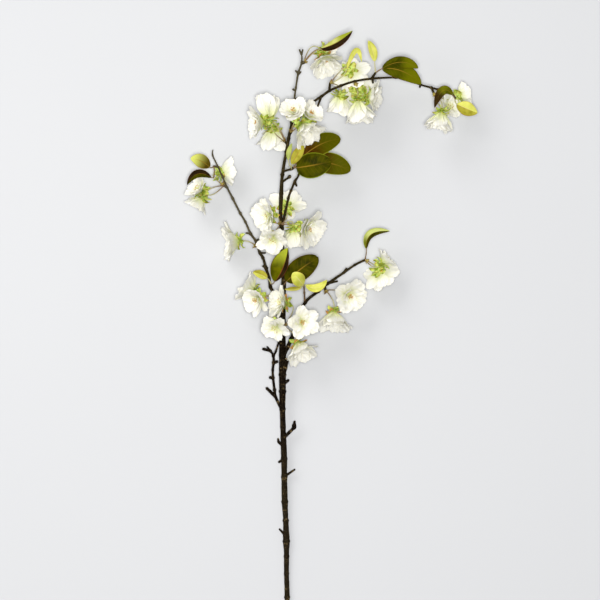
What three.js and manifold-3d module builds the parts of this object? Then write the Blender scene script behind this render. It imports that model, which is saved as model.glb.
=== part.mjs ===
// A cut spray of white semi-double cherry blossom, lying on a surface at z = 0.
// Millimetres. Tables are measured from the cut end: x to the right of the stem, y along it, z up.
// The finished group is moved so that its origin is the middle of the ground that it covers.

import * as THREE from 'three';
import { mergeVertices } from 'three/addons/utils/BufferGeometryUtils.js';
import Module from 'manifold-3d';

const wasm = await Module();
wasm.setup();

// Driving dimensions
const GROUND_MIDDLE = [55, 380];
const SEAT_GAP = 0.3;
const WELD = 1e-4;
const SLIVER = 0.04;

const PETAL = {
  thickness: 0.7,
  widthPerLength: 0.86,
  clawWidth: 0.26,
  widestAt: 0.64,
  tipWidth: 0.66,
  cornerPull: 0.17,
  notch: 0.07,
  notchSpread: 0.3,
  cup: 0.22,
  roll: 0.1,
  wedgeShare: 0.84,
};
const WHORL = {
  count: 5,
  discRadius: 1.9,
  jointDepth: 1.4,
};
const BLOOM = {
  outer: { offset: 0, scale: 1, tilt: 0, footHeight: 0.35, steps: [0.6, 1], detail: 0 },
  inner: { offset: 0.5, scale: 0.78, tilt: -20, footHeight: 1.3, steps: [0.85], detail: 20 },
  smallPetal: 19,
  smallSteps: [0.85],
  lengthSpread: 0.06,
  baseTiltSpread: 3,
  tipTiltSpread: 8,
  tuftHeight: 2.2,
  stamenLength: 8,
  stamenSpread: 24,
};
const TWIG_SIDES = { bent: 4, straight: 3 };
const CALYX = {
  length: 6,
  radius: 2.4,
  pedicelRadius: 0.75,
  pedicelBow: 0.45,
  pedicelSteps: 2,
  sepalFoot: 4.4,
  sepalLength: 7,
  sepalBack: 1.6,
};
const LEAF = {
  thickness: 0.8,
  petioleRadius: 0.7,
  petioleBow: 0.4,
  steps: 5,
  tipWidth: 0.5,
};

const COLOURS = {
  bark: 0x2a2018,
  petal: 0xf7f6ee,
  calyx: 0x8fb045,
  dark: 0x444b12,
  olive: 0x8b9440,
  young: 0xc8cf62,
};

// Wood: each limb is its route with the radius at each point
const LIMBS = [
  {
    sides: 8,
    route: [
      [-1, 0, 2.96, 3.2], [-1.2, 50, 2.96, 3.2], [-2, 80, 3.2, 3.2], [-2, 102, 3.6, 3.2],
      [-2.2, 121, 4.3, 4.1], [-3, 147, 4.8, 3.2], [-4.2, 171, 5.6, 3.6], [-4.8, 202, 7, 3.3],
      [-5, 225, 8.2, 3.5], [-6.4, 265, 10.6, 3.1], [-7, 288, 12.2, 3.1], [-7, 310, 14, 3.7],
      [-7, 331, 16, 3.9], [-7, 356, 18, 3.9], [-7, 385, 20.5, 3.5], [-6.2, 425, 24, 3],
      [-5.2, 469, 27, 2.6], [-8, 496, 29, 2.4], [-8, 515, 30, 2.6], [-9.4, 532, 31, 2],
      [-8.5, 558, 33, 2.4], [-7, 582, 35, 1.9], [-2.2, 610, 37.5, 1.8], [0.8, 627, 39, 2],
      [4.6, 647, 40.5, 1.7], [7.4, 672, 42, 1.6], [9.8, 690, 43.5, 1.4], [12.8, 708, 45, 1.7],
      [17, 721, 46, 1.5], [17, 733, 47, 1.2],
    ],
  },
  {
    sides: 6,
    route: [
      [3.4, 640, 40, 1.5], [12.5, 650, 43, 1.5], [29.5, 670, 48, 1.6], [42, 679, 50, 1.8],
      [52, 686, 51, 1.8], [66, 692, 52, 1.6], [83, 697.5, 52, 1.5], [105, 701, 51, 1.7],
      [134, 702.5, 47, 1.3], [150, 699.5, 44, 1.3], [166, 694, 41, 1.3], [179, 690.5, 38.5, 1.5],
      [189, 688, 36.5, 1.4], [203, 684.5, 34, 1.2], [209.5, 678, 33, 1.3],
    ],
  },
  {
    sides: 6,
    route: [
      [-8, 513, 30, 2.2], [-5.2, 527, 32.5, 1.9], [0.4, 552, 35, 1.6], [3.8, 562, 35.5, 1.5],
      [8.8, 574, 35.5, 1.7], [13.4, 582, 35, 1.3], [18.5, 606, 34, 1.1],
    ],
  },
  {
    sides: 6,
    route: [
      [-7.5, 376, 20, 2.8], [-12, 400, 21, 2.4], [-18, 432, 22, 2.2], [-22, 441, 22.5, 2.3],
      [-23.8, 452, 23, 2], [-27.6, 465, 23.5, 2.1], [-31.5, 478, 24, 1.9], [-35.2, 484, 24.5, 2],
      [-40.6, 499, 25, 1.8], [-46.8, 508, 25.5, 1.8], [-53.5, 523, 26, 1.6], [-60, 534, 26, 1.6],
      [-69.2, 552, 26, 1.8], [-76.4, 566, 25.5, 1.5], [-82, 579, 25, 1.6], [-87.8, 592, 24.5, 1.4],
      [-94.4, 606, 24, 1.2], [-94.4, 613, 24, 0.9],
    ],
  },
  {
    sides: 6,
    route: [
      [-5.5, 356, 18, 3], [4.2, 376, 20, 2.8], [11, 398, 22, 2.3], [21.6, 422, 24.5, 2.1],
      [38, 436, 26, 2], [50.4, 446, 27, 1.9], [69.5, 459, 28.5, 1.7], [83.8, 469, 29.5, 1.5],
      [96, 475, 30, 1.7],
    ],
  },
  {
    sides: 6,
    route: [
      [-7.5, 286, 12.4, 2.2], [-15.4, 302.5, 15, 1.9], [-17, 312, 16, 1.8], [-18.8, 327, 17, 1.7],
      [-19.2, 337, 18, 1.7], [-18.2, 346, 19, 1.9], [-18.5, 355, 20, 1.7], [-22, 361, 21, 1.4],
      [-26, 366, 22, 1.2],
    ],
  },
  { sides: 6, route: [[-18.5, 354, 20, 1.5], [-15.2, 361, 21, 1.4], [-11.5, 373, 22.5, 1.2]] },
  { sides: 6, route: [[-6.5, 329, 17, 3.1], [-3.8, 340, 20, 3.1], [-1.2, 351, 23, 3]] },
];

// Short twigs, stubs, spurs and buds, drawn the same way with fewer sides
const TWIGS = [
  [[-15.4, 303, 15, 1.8], [-26.5, 314, 16.5, 1.6]],
  [[-18.8, 327, 17, 1.8], [-22.4, 327.6, 17.5, 1.7]],
  [[-18.2, 346, 19, 1.7], [-14, 347.5, 19.5, 1.7]],
  [[-22, 361, 21, 1.4], [-30.8, 363.5, 22.5, 1.5]],
  [[-6, 224, 8.5, 1.6], [-11.2, 221, 9.5, 1.3]],
  [[-4, 203, 7.5, 1.4], [8.2, 211.5, 10.5, 1]],
  [[-3, 128, 5, 1.6], [-10.6, 136, 6, 1.1]],
  [[-5, 252, 10, 1.9], [7, 264, 13.5, 1.6], [7.6, 267, 14, 2.1], [8.2, 272, 14.5, 1.2]],
  [[-6, 241, 9.5, 1.7], [-11.5, 246, 11, 1.3], [-12.5, 250, 11.5, 1.2]],
  [[-5, 320, 15.5, 1.8], [0.2, 324, 17, 1.5]],
  [[-7, 573, 35, 1.2], [1.2, 578.5, 37.5, 1.1], [2.2, 579.5, 38, 1.6]],
  [[-6.6, 586, 36, 1.4], [3.6, 588.5, 40, 1.2], [6.4, 590, 41.5, 1.5]],
  [[9.8, 686, 43, 1.3], [6.4, 688, 44, 1.1]],
  [[7.6, 674, 42, 1.4], [11, 676.5, 43, 1.2]],
  [[12.8, 708, 45, 1.3], [9.8, 711, 46, 1]],
  [[12.8, 707, 45, 1.3], [15.8, 709.5, 46, 1]],
  [[17, 720, 46, 1.4], [19.8, 721.5, 47, 1.7]],
  [[17, 731, 47, 1.1], [14.4, 737, 48, 0.9]],
  [[17, 731, 47, 1.1], [18.4, 737, 48, 0.9]],
  [[8.6, 573, 35.5, 1.3], [10.6, 568, 37, 1.1]],
  [[42, 680, 50, 1.3], [36.5, 665, 50, 1]],
  [[51.6, 687, 51, 1.4], [52.4, 695, 53, 1.2]],
  [[105, 702, 51, 1.4], [109, 708, 52, 1.2]],
  [[105, 702, 51, 1.3], [106, 696, 50, 1.1]],
  [[166, 695, 41, 1.2], [164.6, 691, 41, 1]],
  [[179, 692, 38.5, 1.3], [182, 684, 39, 1.2]],
  [[189, 689, 36.5, 1.1], [199.6, 690.5, 37.5, 0.9]],
  [[-27.6, 465, 23.5, 1.3], [-31.4, 467.5, 24, 1.1]],
  [[-35.2, 484, 24.5, 1.2], [-28.6, 484, 26, 0.9]],
  [[-40.6, 499, 25, 1.3], [-37.2, 501, 26, 1]],
  [[-46.8, 508, 25.5, 1.2], [-52.5, 509, 26.5, 0.9]],
  [[-76.4, 566, 25.5, 1.3], [-80.6, 568.5, 27, 1.2]],
  [[-87.8, 592, 24.5, 1.2], [-93.2, 593, 25.5, 1]],
  [[46, 442, 26.6, 1.5], [46.6, 438, 28, 1.5]],
  [[50.4, 446, 27, 1.3], [61.6, 448.5, 28, 1]],
  [[69.5, 459, 28.5, 1.3], [73.2, 464.5, 29.5, 1]],
  [[21, 421, 24.3, 1.5], [20.4, 434, 30, 1.3], [19.8, 444, 36, 1.2]],
  [[-7.2, 392, 22, 2.2], [-5, 392, 27, 1.9]],
  [[-8, 516, 30, 1.9], [-9.6, 519, 34, 1.6]],
  [[1.6, 633, 39.5, 1.6], [3.4, 634, 43, 1.5]],
  [[-0.6, 620, 38.4, 1.4], [-3.6, 623, 38.6, 1.3]],
];

// Groups of blossoms. at: the foot of the petals; faces: the way the blossom looks;
// petal: petal length; open: how far the petals lean out at their claw and at their tip, in degrees;
// via: the point that bends the stalk, where it has to pass round the wood
const UMBELS = [
  {
    name: 'tip', root: [20, 721.5, 47],
    blooms: [
      { at: [45, 730, 46], faces: [0.2, -0.85, 0.42], petal: 26, open: [36, 58], spin: 20 },
      { at: [43.5, 738, 29], faces: [0.75, -0.5, 0.05], petal: 20, open: [36, 56], spin: 50 },
    ],
  },
  {
    name: 'arch_near', root: [52.6, 695, 53],
    blooms: [
      { at: [77, 712, 44], faces: [0.2, -0.45, -0.85], petal: 22, open: [56, 82], spin: 10 },
      { at: [65, 681, 41], faces: [-0.05, -0.9, -0.35], petal: 24, open: [26, 40], spin: 40 },
    ],
  },
  {
    name: 'arch_far', root: [84, 696, 52],
    blooms: [
      { at: [87, 688, 34], faces: [0.15, -0.1, -1], petal: 22, open: [50, 80], spin: 5 },
      { at: [88, 674, 43], faces: [0.1, -0.9, 0.1], petal: 29, open: [22, 36], spin: 25 },
      { at: [100, 680, 44], faces: [0.95, -0.15, 0.25], petal: 22, open: [42, 66], spin: 0 },
    ],
  },
  {
    name: 'end', root: [182, 684, 39],
    blooms: [
      { at: [191.5, 659, 43], faces: [-0.15, -0.95, 0.1], petal: 24, open: [28, 44], spin: 15 },
      { at: [200, 667, 23], faces: [0.45, 0.15, 0.85], petal: 18, open: [42, 66], spin: 60 },
      { at: [214, 680, 25], faces: [0.85, 0.4, -0.35], petal: 18, open: [42, 60], spin: 30 },
    ],
  },
  {
    name: 'leader_left', root: [-3.6, 623, 38.6],
    blooms: [
      { at: [-22, 650.5, 40], faces: [-0.1, 0.9, -0.25], petal: 29, open: [15, 24], spin: 12 },
      { at: [-20, 640, 34], faces: [0, -0.85, -0.4], petal: 27, open: [32, 50], spin: 48 },
      { at: [-31, 647, 44], faces: [-0.93, -0.1, 0.3], petal: 22, open: [40, 62], spin: 30 },
    ],
  },
  {
    name: 'leader', root: [3.4, 634, 43],
    blooms: [
      { at: [7.5, 657.5, 54], faces: [-0.15, 0.5, 0.85], petal: 19, open: [40, 60], spin: 0 },
      { at: [25, 653.5, 53], faces: [0.5, 0.55, 0.6], petal: 18, open: [38, 56], spin: 30 },
      { at: [17, 643, 55], faces: [0.55, -0.7, 0.42], petal: 27, open: [30, 48], spin: 55 },
    ],
  },
  {
    name: 'left_tip', root: [-80.6, 568.5, 27],
    blooms: [
      { at: [-86, 584, 19.1], faces: [0.9, 0.1, -0.3], petal: 21, open: [40, 60], spin: 20 },
      { at: [-108, 561, 35], faces: [-0.7, 0.5, 0.45], petal: 18, open: [40, 58], spin: 50 },
      { at: [-108, 553, 24], faces: [-0.55, -0.8, -0.1], petal: 19, open: [36, 54], spin: 10 },
    ],
  },
  {
    name: 'fork', root: [-9.6, 519, 34],
    blooms: [
      { at: [-21.5, 531, 39], faces: [-0.72, -0.12, 0.62], petal: 23, open: [40, 64], spin: 20 },
      { at: [-18.5, 503, 48], faces: [-0.1, -0.55, 0.82], petal: 19, open: [50, 74], spin: 5 },
      {
        at: [-2, 541, 22], faces: [0.1, 0.55, -0.75], petal: 21, open: [56, 84], spin: 30,
        via: [3, 528, 38],
      },
      { at: [21, 516, 42], faces: [0.7, -0.3, 0.6], petal: 26, open: [38, 60], spin: 12 },
      { at: [7, 515, 27], faces: [0.1, -0.85, -0.4], petal: 24, open: [36, 56], spin: 35 },
    ],
  },
  {
    name: 'left', root: [-39.4, 492, 26.4],
    blooms: [{ at: [-62, 498.5, 25], faces: [-0.95, -0.1, 0.15], petal: 27, open: [44, 72], spin: 25 }],
  },
  {
    name: 'low_left', root: [-19, 430, 23.6],
    blooms: [
      { at: [-42.5, 436, 26], faces: [-0.7, 0.5, -0.1], petal: 24, open: [40, 62], spin: 10 },
      { at: [-36, 427.5, 37], faces: [-0.6, -0.35, 0.7], petal: 20, open: [42, 64], spin: 45 },
    ],
  },
  {
    name: 'centre', root: [-5, 392, 27],
    blooms: [
      { at: [-3.5, 421, 42], faces: [-0.85, 0.15, 0.45], petal: 22, open: [42, 64], spin: 30 },
      { at: [-15, 392.5, 45], faces: [-0.2, -0.5, 0.8], petal: 17, open: [52, 78], spin: 0 },
      { at: [16, 397.5, 44], faces: [0.25, -0.05, 0.95], petal: 20, open: [48, 72], spin: 35 },
      { at: [12.5, 371.5, 34], faces: [0.35, -0.8, 0.35], petal: 26, open: [32, 50], spin: 18 },
    ],
  },
  {
    name: 'right', root: [46.6, 437.5, 28.2],
    blooms: [
      { at: [57.5, 410, 31], faces: [-0.05, -0.9, 0.3], petal: 27, open: [32, 50], spin: 15 },
      { at: [75, 432.5, 32], faces: [0.35, -0.3, 0.8], petal: 23, open: [46, 72], spin: 40 },
    ],
  },
  {
    name: 'right_tip', root: [97, 475, 30.4],
    blooms: [
      { at: [113, 462, 22.15], faces: [0.35, -0.6, -0.65], petal: 24, open: [50, 76], spin: 22 },
      { at: [118, 471.5, 30], faces: [0.65, 0.6, 0.05], petal: 17, open: [40, 60], spin: 0 },
    ],
  },
];

// Leaves. root: where the petiole leaves the wood; base, middle, tip: points of the midrib;
// faces: the way the upper side looks; fold: how far the two halves rise from the midrib.
// A blade with a root of its own leaves the petiole of the blade before it
const LEAVES = [
  {
    name: 'leaf_top', colour: 'dark', root: [20, 722, 47],
    blades: [{ base: [41, 738, 60], middle: [60.5, 743, 70], tip: [80, 759, 70],
      width: 18, faces: [-0.2, 0.6, 0.75], fold: 0.25 }],
  },
  {
    name: 'leaf_strip', colour: 'young', root: [52.6, 695, 53],
    blades: [{ base: [73, 711, 58], middle: [84.5, 735, 62], tip: [91.5, 721, 64],
      width: 7, faces: [-0.3, 0.3, 0.9], fold: 0.2 }],
  },
  {
    name: 'leaves_arch', colour: 'dark', root: [109.2, 708, 52.2],
    blades: [
      { base: [117, 713, 53], middle: [142, 710, 56], tip: [166, 694, 52],
        width: 22, faces: [0.05, 0.15, 1], fold: 0.12 },
      { base: [117.5, 713.5, 54], middle: [141, 721, 58], tip: [162, 713.5, 58],
        width: 15, faces: [0.1, -0.3, 1], fold: 0.1 },
      { base: [108, 722, 53], middle: [105.5, 736, 54], tip: [100, 748, 54],
        width: 11, faces: [0.35, 0, 0.95], fold: 0.2 },
    ],
  },
  {
    name: 'leaves_end', colour: 'olive', root: [209.5, 679, 33],
    blades: [
      { base: [211, 670, 36], middle: [224, 664, 38], tip: [237, 659, 36],
        width: 18, faces: [0, 0.2, 1], fold: 0.15 },
      { root: [209.3, 676.7, 33.8], base: [206, 681, 40], middle: [193, 686, 46], tip: [183, 665, 46],
        width: 12, faces: [-0.05, 0.3, 0.95], fold: 0.25 },
    ],
  },
  {
    name: 'leaves_leader', colour: 'dark', root: [6.4, 590, 41.6],
    blades: [
      { base: [10, 590, 46], middle: [31, 593, 50], tip: [54, 598, 49],
        width: 32, faces: [0.05, 0, 1], fold: 0.1 },
      { base: [14, 600, 45.4], middle: [40, 619, 44], tip: [66, 626, 41],
        width: 27, faces: [0, 0.2, 1], fold: 0.12 },
      { base: [26, 597, 43], middle: [54, 595.5, 41.6], tip: [78, 586, 38],
        width: 27, faces: [0.1, 0, 1], fold: 0.1 },
    ],
  },
  {
    name: 'leaves_leader_young', colour: 'young', root: [4.6, 589.4, 41.8],
    blades: [
      { base: [5, 594, 50], middle: [12, 607, 55], tip: [20, 617, 57],
        width: 13, faces: [0.25, 0, 1], fold: 0.2 },
      { base: [0.6, 599, 50], middle: [1.4, 610, 52], tip: [5, 620, 52],
        width: 7, faces: [-0.5, 0, 0.9], fold: 0.2 },
    ],
  },
  {
    name: 'leaves_left', colour: 'olive', root: [-93.2, 593, 25.5],
    blades: [
      { base: [-98, 591, 31], middle: [-109, 599, 35], tip: [-122, 602, 36],
        width: 18, faces: [0.1, 0.3, 1], fold: 0.2 },
      { base: [-96, 578, 37], middle: [-113, 582.5, 42], tip: [-126, 569, 41],
        width: 11, faces: [-0.1, 0.35, 0.93], fold: 0.25 },
    ],
  },
  {
    name: 'leaf_right', colour: 'dark', root: [96.4, 475.6, 30.4],
    blades: [{ base: [98, 489, 36], middle: [104, 507, 40], tip: [127, 511, 40],
      width: 13, faces: [-0.45, 0.45, 0.75], fold: 0.3 }],
  },
  {
    name: 'leaf_centre_oval', colour: 'dark', root: [-5.4, 443, 25.6],
    blades: [{ base: [-2, 448, 38], middle: [17, 464.5, 44], tip: [38, 478, 42],
      width: 28, faces: [0.1, 0.05, 1], fold: 0.1 }],
  },
  {
    name: 'leaves_centre', colour: 'dark', root: [-23, 446, 22.8],
    blades: [
      { base: [-17, 448, 36], middle: [-10, 469, 42], tip: [-0.5, 490, 42],
        width: 21, faces: [-0.15, 0, 1], fold: 0.32 },
      { root: [-21.1, 445.5, 27.2], base: [-26, 452.5, 30], middle: [-34, 457, 33], tip: [-44, 460, 34],
        width: 11, faces: [0, 0.3, 1], fold: 0.2 },
    ],
  },
  {
    name: 'leaves_yellow', colour: 'young', root: [19.8, 444, 36.4],
    blades: [
      { base: [19, 444, 40], middle: [13, 451, 52], tip: [6, 459, 54],
        width: 17, faces: [0.2, -0.1, 1], fold: 0.15 },
      { base: [22, 444, 40], middle: [36, 440, 45], tip: [48.5, 450, 50],
        width: 11, faces: [0.1, 0.3, 1], fold: 0.25 },
      { base: [17, 441, 40], middle: [6, 438.5, 47], tip: [-4, 438.5, 49],
        width: 9, faces: [0, 0.8, 0.55], fold: 0.2 },
    ],
  },
];

const degrees = THREE.MathUtils.degToRad;
const vector = (point) => new THREE.Vector3(point[0], point[1], point[2]);

// A repeatable number from -1 to 1 for one detail of one piece
function vary(seed, detail) {
  const wave = Math.sin(seed * 12.9898 + detail * 78.233) * 4375.8545;
  return 2 * (wave - Math.floor(wave)) - 1;
}

// Turns a closed geometry into a solid for joining and cutting
function toSolid(geometry) {
  const bare = geometry.clone();
  bare.deleteAttribute('normal');
  bare.deleteAttribute('uv');
  const welded = mergeVertices(bare, WELD);
  return new wasm.Manifold(new wasm.Mesh({
    numProp: 3,
    vertProperties: new Float32Array(welded.attributes.position.array),
    triVerts: new Uint32Array(welded.index.array),
  }));
}

// Only the one largest body of a solid: sealed hollows are filled and loose scraps dropped
function mainBody(solid) {
  const bodies = solid.decompose();
  return bodies.reduce((best, body) => (body.volume() > best.volume() ? body : best));
}

function toGeometry(solid) {
  const mesh = mainBody(solid.simplify(SLIVER)).getMesh();
  const geometry = new THREE.BufferGeometry();
  const numbers = Float32Array.from(mesh.vertProperties);
  geometry.setAttribute('position', new THREE.BufferAttribute(numbers, 3));
  geometry.setIndex(new THREE.BufferAttribute(Uint32Array.from(mesh.triVerts), 1));
  return geometry;
}

function joined(solids) {
  return solids.reduce((whole, solid) => whole.add(solid));
}

// A closed solid from points and triangles
function closedSolid(points, triangles) {
  const geometry = new THREE.BufferGeometry();
  const numbers = points.flatMap((point) => point.toArray());
  geometry.setAttribute('position', new THREE.Float32BufferAttribute(numbers, 3));
  geometry.setIndex(triangles.flat());
  return toSolid(geometry);
}

// A round tapering solid along stations of [x, y, z, radius].
// Where spikes is given, each side of the last stretch is drawn out to a point, as the sepals are
function limbSolid(stations, sides, grow = 0, spikes = null) {
  const centres = stations.map(vector);
  const last = stations.length - 1;
  const points = [];
  let across = new THREE.Vector3(0, 0, 1);
  let ahead;
  stations.forEach((station, i) => {
    ahead = centres[Math.min(i + 1, last)].clone().sub(centres[Math.max(i - 1, 0)]).normalize();
    across = across.addScaledVector(ahead, -across.dot(ahead)).normalize();
    const side = ahead.clone().cross(across);
    const centre = centres[i].clone();
    if (i === 0) centre.addScaledVector(ahead, -grow);
    if (i === last) centre.addScaledVector(ahead, grow);
    for (let k = 0; k < sides; k++) {
      const turn = ((k + 0.5) / sides) * 2 * Math.PI;
      points.push(centre.clone()
        .addScaledVector(across, Math.cos(turn) * (station[3] + grow))
        .addScaledVector(side, Math.sin(turn) * (station[3] + grow)));
    }
  });
  const triangles = [];
  for (let k = 1; k < sides - 1; k++) {
    triangles.push([0, k + 1, k]);
    triangles.push([last * sides, last * sides + k, last * sides + k + 1]);
  }
  for (let i = 0; i < last; i++) {
    for (let k = 0; k < sides; k++) {
      const a = i * sides + k;
      const b = i * sides + (k + 1) % sides;
      if (spikes && i === last - 1) {
        const way = points[a].clone().add(points[b]).multiplyScalar(0.5).sub(centres[i]).normalize();
        const tip = points.push(centres[i].clone()
          .addScaledVector(way, stations[i][3] + spikes.out + grow)
          .addScaledVector(ahead, -spikes.back)) - 1;
        triangles.push([a, b, tip], [b, b + sides, tip]);
        triangles.push([b + sides, a + sides, tip], [a + sides, a, tip]);
      } else {
        triangles.push([a, b, b + sides], [a, b + sides, a + sides]);
      }
    }
  }
  return closedSolid(points, triangles);
}

// A thin closed solid on both sides of a set of [point, normal] nodes, split alike on each face
function thinSolid(nodes, faces, rim, thickness) {
  const count = nodes.length;
  const points = [0.5, -0.5].flatMap((half) => (
    nodes.map(([point, normal]) => point.clone().addScaledVector(normal, half * thickness))));
  const triangles = faces.flatMap(([a, b, c]) => [[a, c, b], [a + count, b + count, c + count]]);
  rim.forEach((from, k) => {
    const to = rim[(k + 1) % rim.length];
    triangles.push([from, to + count, from + count], [from, to, to + count]);
  });
  return closedSolid(points, triangles);
}

// A thin strip, three nodes to a row
function stripSolid(rows, thickness) {
  const faces = [];
  const rim = [0, 1];
  for (let a = 0; a < 3 * (rows.length - 1); a += 3) {
    faces.push([a, a + 1, a + 4], [a, a + 4, a + 3], [a + 1, a + 2, a + 4], [a + 2, a + 5, a + 4]);
    rim.push(a + 2);
  }
  for (let a = 3 * (rows.length - 1); a > 0; a -= 3) {
    if (a === 3 * (rows.length - 1)) rim.push(a + 2, a + 1);
    rim.push(a);
  }
  return thinSolid(rows.flat(), faces, rim, thickness);
}

// The directions of a blossom: along is the way it faces, and the other two turn with its spin
function bloomFrame(bloom) {
  const along = vector(bloom.faces).normalize();
  const level = Math.abs(along.z) > 0.9 ? new THREE.Vector3(0, 1, 0) : new THREE.Vector3(0, 0, 1);
  const right = level.clone().cross(along).normalize().applyAxisAngle(along, degrees(bloom.spin));
  return { foot: vector(bloom.at), along, right, up: along.clone().cross(right) };
}

function outward(frame, turn) {
  return frame.right.clone().multiplyScalar(Math.cos(turn)).addScaledVector(frame.up, Math.sin(turn));
}

function petalWidth(t) {
  const { clawWidth, widestAt, tipWidth } = PETAL;
  if (t < widestAt) return clawWidth + (1 - clawWidth) * Math.sin((t / widestAt) * (Math.PI / 2));
  return tipWidth + (1 - tipWidth) * Math.cos(((t - widestAt) / (1 - widestAt)) * (Math.PI / 2));
}

// The upper side's direction where a petal leans out by tilt from the way the blossom faces
function leaning(frame, out, tilt) {
  return out.clone().multiplyScalar(-Math.cos(tilt)).addScaledVector(frame.along, Math.sin(tilt));
}

// A node of a petal: t runs from the claw to the tip, u from one edge to the other
function petalNode(frame, petal, t, u, grow) {
  const out = outward(frame, petal.turn);
  const side = frame.along.clone().cross(out);
  const bend = petal.tipTilt - petal.baseTilt + 1e-3;
  const notch = PETAL.notch * t ** 4 * Math.exp(-((u / PETAL.notchSpread) ** 2));
  const reach = t - PETAL.cornerPull * t ** 3 * u ** 2 - notch + (t * grow) / petal.length;
  const tilt = petal.baseTilt + bend * reach;
  const run = (petal.length / bend) * (Math.cos(petal.baseTilt) - Math.cos(tilt));
  const rise = (petal.length / bend) * (Math.sin(tilt) - Math.sin(petal.baseTilt));
  const wedge = PETAL.wedgeShare * (WHORL.discRadius + run) * Math.tan(Math.PI / WHORL.count);
  const halfWidth = Math.min((petal.width / 2) * petalWidth(t), wedge) + grow;
  const normal = leaning(frame, out, tilt);
  const lift = halfWidth * t * (PETAL.cup * u * u + PETAL.roll * u);
  const point = frame.foot.clone()
    .addScaledVector(out, WHORL.discRadius + run)
    .addScaledVector(frame.along, petal.footHeight + rise)
    .addScaledVector(normal, lift)
    .addScaledVector(side, u * halfWidth);
  return [point, normal];
}

// A node of the joint between two neighbours of a whorl
function jointNode(frame, turn, tilt, footHeight) {
  const out = outward(frame, turn);
  const point = frame.foot.clone()
    .addScaledVector(out, WHORL.discRadius + WHORL.jointDepth * Math.sin(tilt))
    .addScaledVector(frame.along, footHeight + WHORL.jointDepth * Math.cos(tilt));
  return [point, leaning(frame, out, tilt)];
}

// The petals of one whorl: offset is how far round they start, in petals
function whorl(bloom, seed, { offset, scale, tilt, footHeight, detail }) {
  return Array.from({ length: WHORL.count }, (_, k) => ({
    turn: ((k + offset) / WHORL.count) * 2 * Math.PI,
    length: bloom.petal * scale * (1 + BLOOM.lengthSpread * vary(seed, k + detail)),
    width: bloom.petal * scale * PETAL.widthPerLength,
    baseTilt: degrees(bloom.open[0] + tilt + BLOOM.baseTiltSpread * vary(seed, k + detail + 5)),
    tipTilt: degrees(bloom.open[1] + tilt + BLOOM.tipTiltSpread * vary(seed, k + detail + 10)),
    footHeight,
  }));
}

// A blossom in one closed surface: two whorls of petals joined at their claws round a small disc,
// the inner one set half a petal round, with a spike for each bunch of stamens in the middle
function bloomSolid(bloom, seed, grow = 0) {
  const frame = bloomFrame(bloom);
  const half = PETAL.thickness / 2 + grow;
  const above = (height) => frame.foot.clone().addScaledVector(frame.along, height);
  const points = [above(BLOOM.outer.footHeight - half), above(BLOOM.tuftHeight + grow)];
  const triangles = [];
  const [bottomMiddle, topMiddle] = [0, 1];
  // Adds the two faces of one whorl and gives the numbers of its lower and upper ring
  const addWhorl = (layer) => {
    const steps = bloom.petal > BLOOM.smallPetal ? layer.steps : BLOOM.smallSteps;
    const petals = whorl(bloom, seed, layer);
    const rings = [[], []];
    const nodes = petals.map((petal) => [
      petalNode(frame, petal, 0, 0, 0),
      jointNode(frame, petal.turn + Math.PI / WHORL.count, petal.baseTilt, petal.footHeight),
      ...steps.flatMap((t) => [-1, 0, 1].map((u) => petalNode(frame, petal, t, u, grow))),
    ]);
    const starts = [-half, half].map((shift) => {
      const first = points.length;
      for (const [point, normal] of nodes.flat()) {
        points.push(point.clone().addScaledVector(normal, shift));
      }
      return first;
    });
    const perPetal = nodes[0].length;
    petals.forEach((petal, k) => {
      const claw = k * perPetal;
      const before = ((k + WHORL.count - 1) % WHORL.count) * perPetal + 1;
      let row = [before, claw, claw + 1];
      const [leftEdge, rightEdge] = [[before], [claw + 1]];
      const faces = [];
      steps.forEach((t, i) => {
        const far = [0, 1, 2].map((j) => claw + 2 + 3 * i + j);
        faces.push([row[0], far[1], row[1]], [row[0], far[0], far[1]]);
        faces.push([row[1], far[1], row[2]], [row[2], far[1], far[2]]);
        leftEdge.push(far[0]);
        rightEdge.push(far[2]);
        row = far;
      });
      for (const [a, b, c] of faces) {
        triangles.push([a + starts[1], b + starts[1], c + starts[1]]);
        triangles.push([a + starts[0], c + starts[0], b + starts[0]]);
      }
      const rim = [...leftEdge, row[1], ...rightEdge.reverse()];
      for (let n = 0; n < rim.length - 1; n++) {
        const [from, to] = [rim[n], rim[n + 1]];
        triangles.push([from + starts[0], to + starts[0], to + starts[1]]);
        triangles.push([from + starts[0], to + starts[1], from + starts[1]]);
      }
      rings[0].push(claw + starts[0], claw + 1 + starts[0]);
      rings[1].push(claw + starts[1], claw + 1 + starts[1]);
    });
    return rings;
  };
  const [outerLow, outerHigh] = addWhorl(BLOOM.outer);
  const [innerLow, innerHigh] = addWhorl(BLOOM.inner);
  const around = 2 * WHORL.count;
  for (let k = 0; k < around; k++) {
    const next = (k + 1) % around;
    // The inner ring starts half a petal round, so its nodes are one step behind the outer ring's
    const [inner, innerNext] = [(k + around - 1) % around, k];
    triangles.push([bottomMiddle, outerLow[next], outerLow[k]]);
    triangles.push([outerHigh[k], outerHigh[next], innerLow[innerNext]]);
    triangles.push([outerHigh[k], innerLow[innerNext], innerLow[inner]]);
    if (k % 2 === 1) {
      triangles.push([topMiddle, innerHigh[k], innerHigh[next]]);
      continue;
    }
    const lean = degrees(Math.min(BLOOM.stamenSpread, (bloom.open[0] + BLOOM.inner.tilt) / 2));
    const way = outward(frame, ((k + 1.5) / around) * 2 * Math.PI);
    const tip = points.push(above(BLOOM.tuftHeight + (BLOOM.stamenLength + grow) * Math.cos(lean))
      .addScaledVector(way, 1 + (BLOOM.stamenLength + grow) * Math.sin(lean))) - 1;
    triangles.push([innerHigh[k], innerHigh[next], tip], [innerHigh[next], topMiddle, tip]);
    triangles.push([topMiddle, innerHigh[k], tip]);
  }
  return closedSolid(points, triangles);
}

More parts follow.
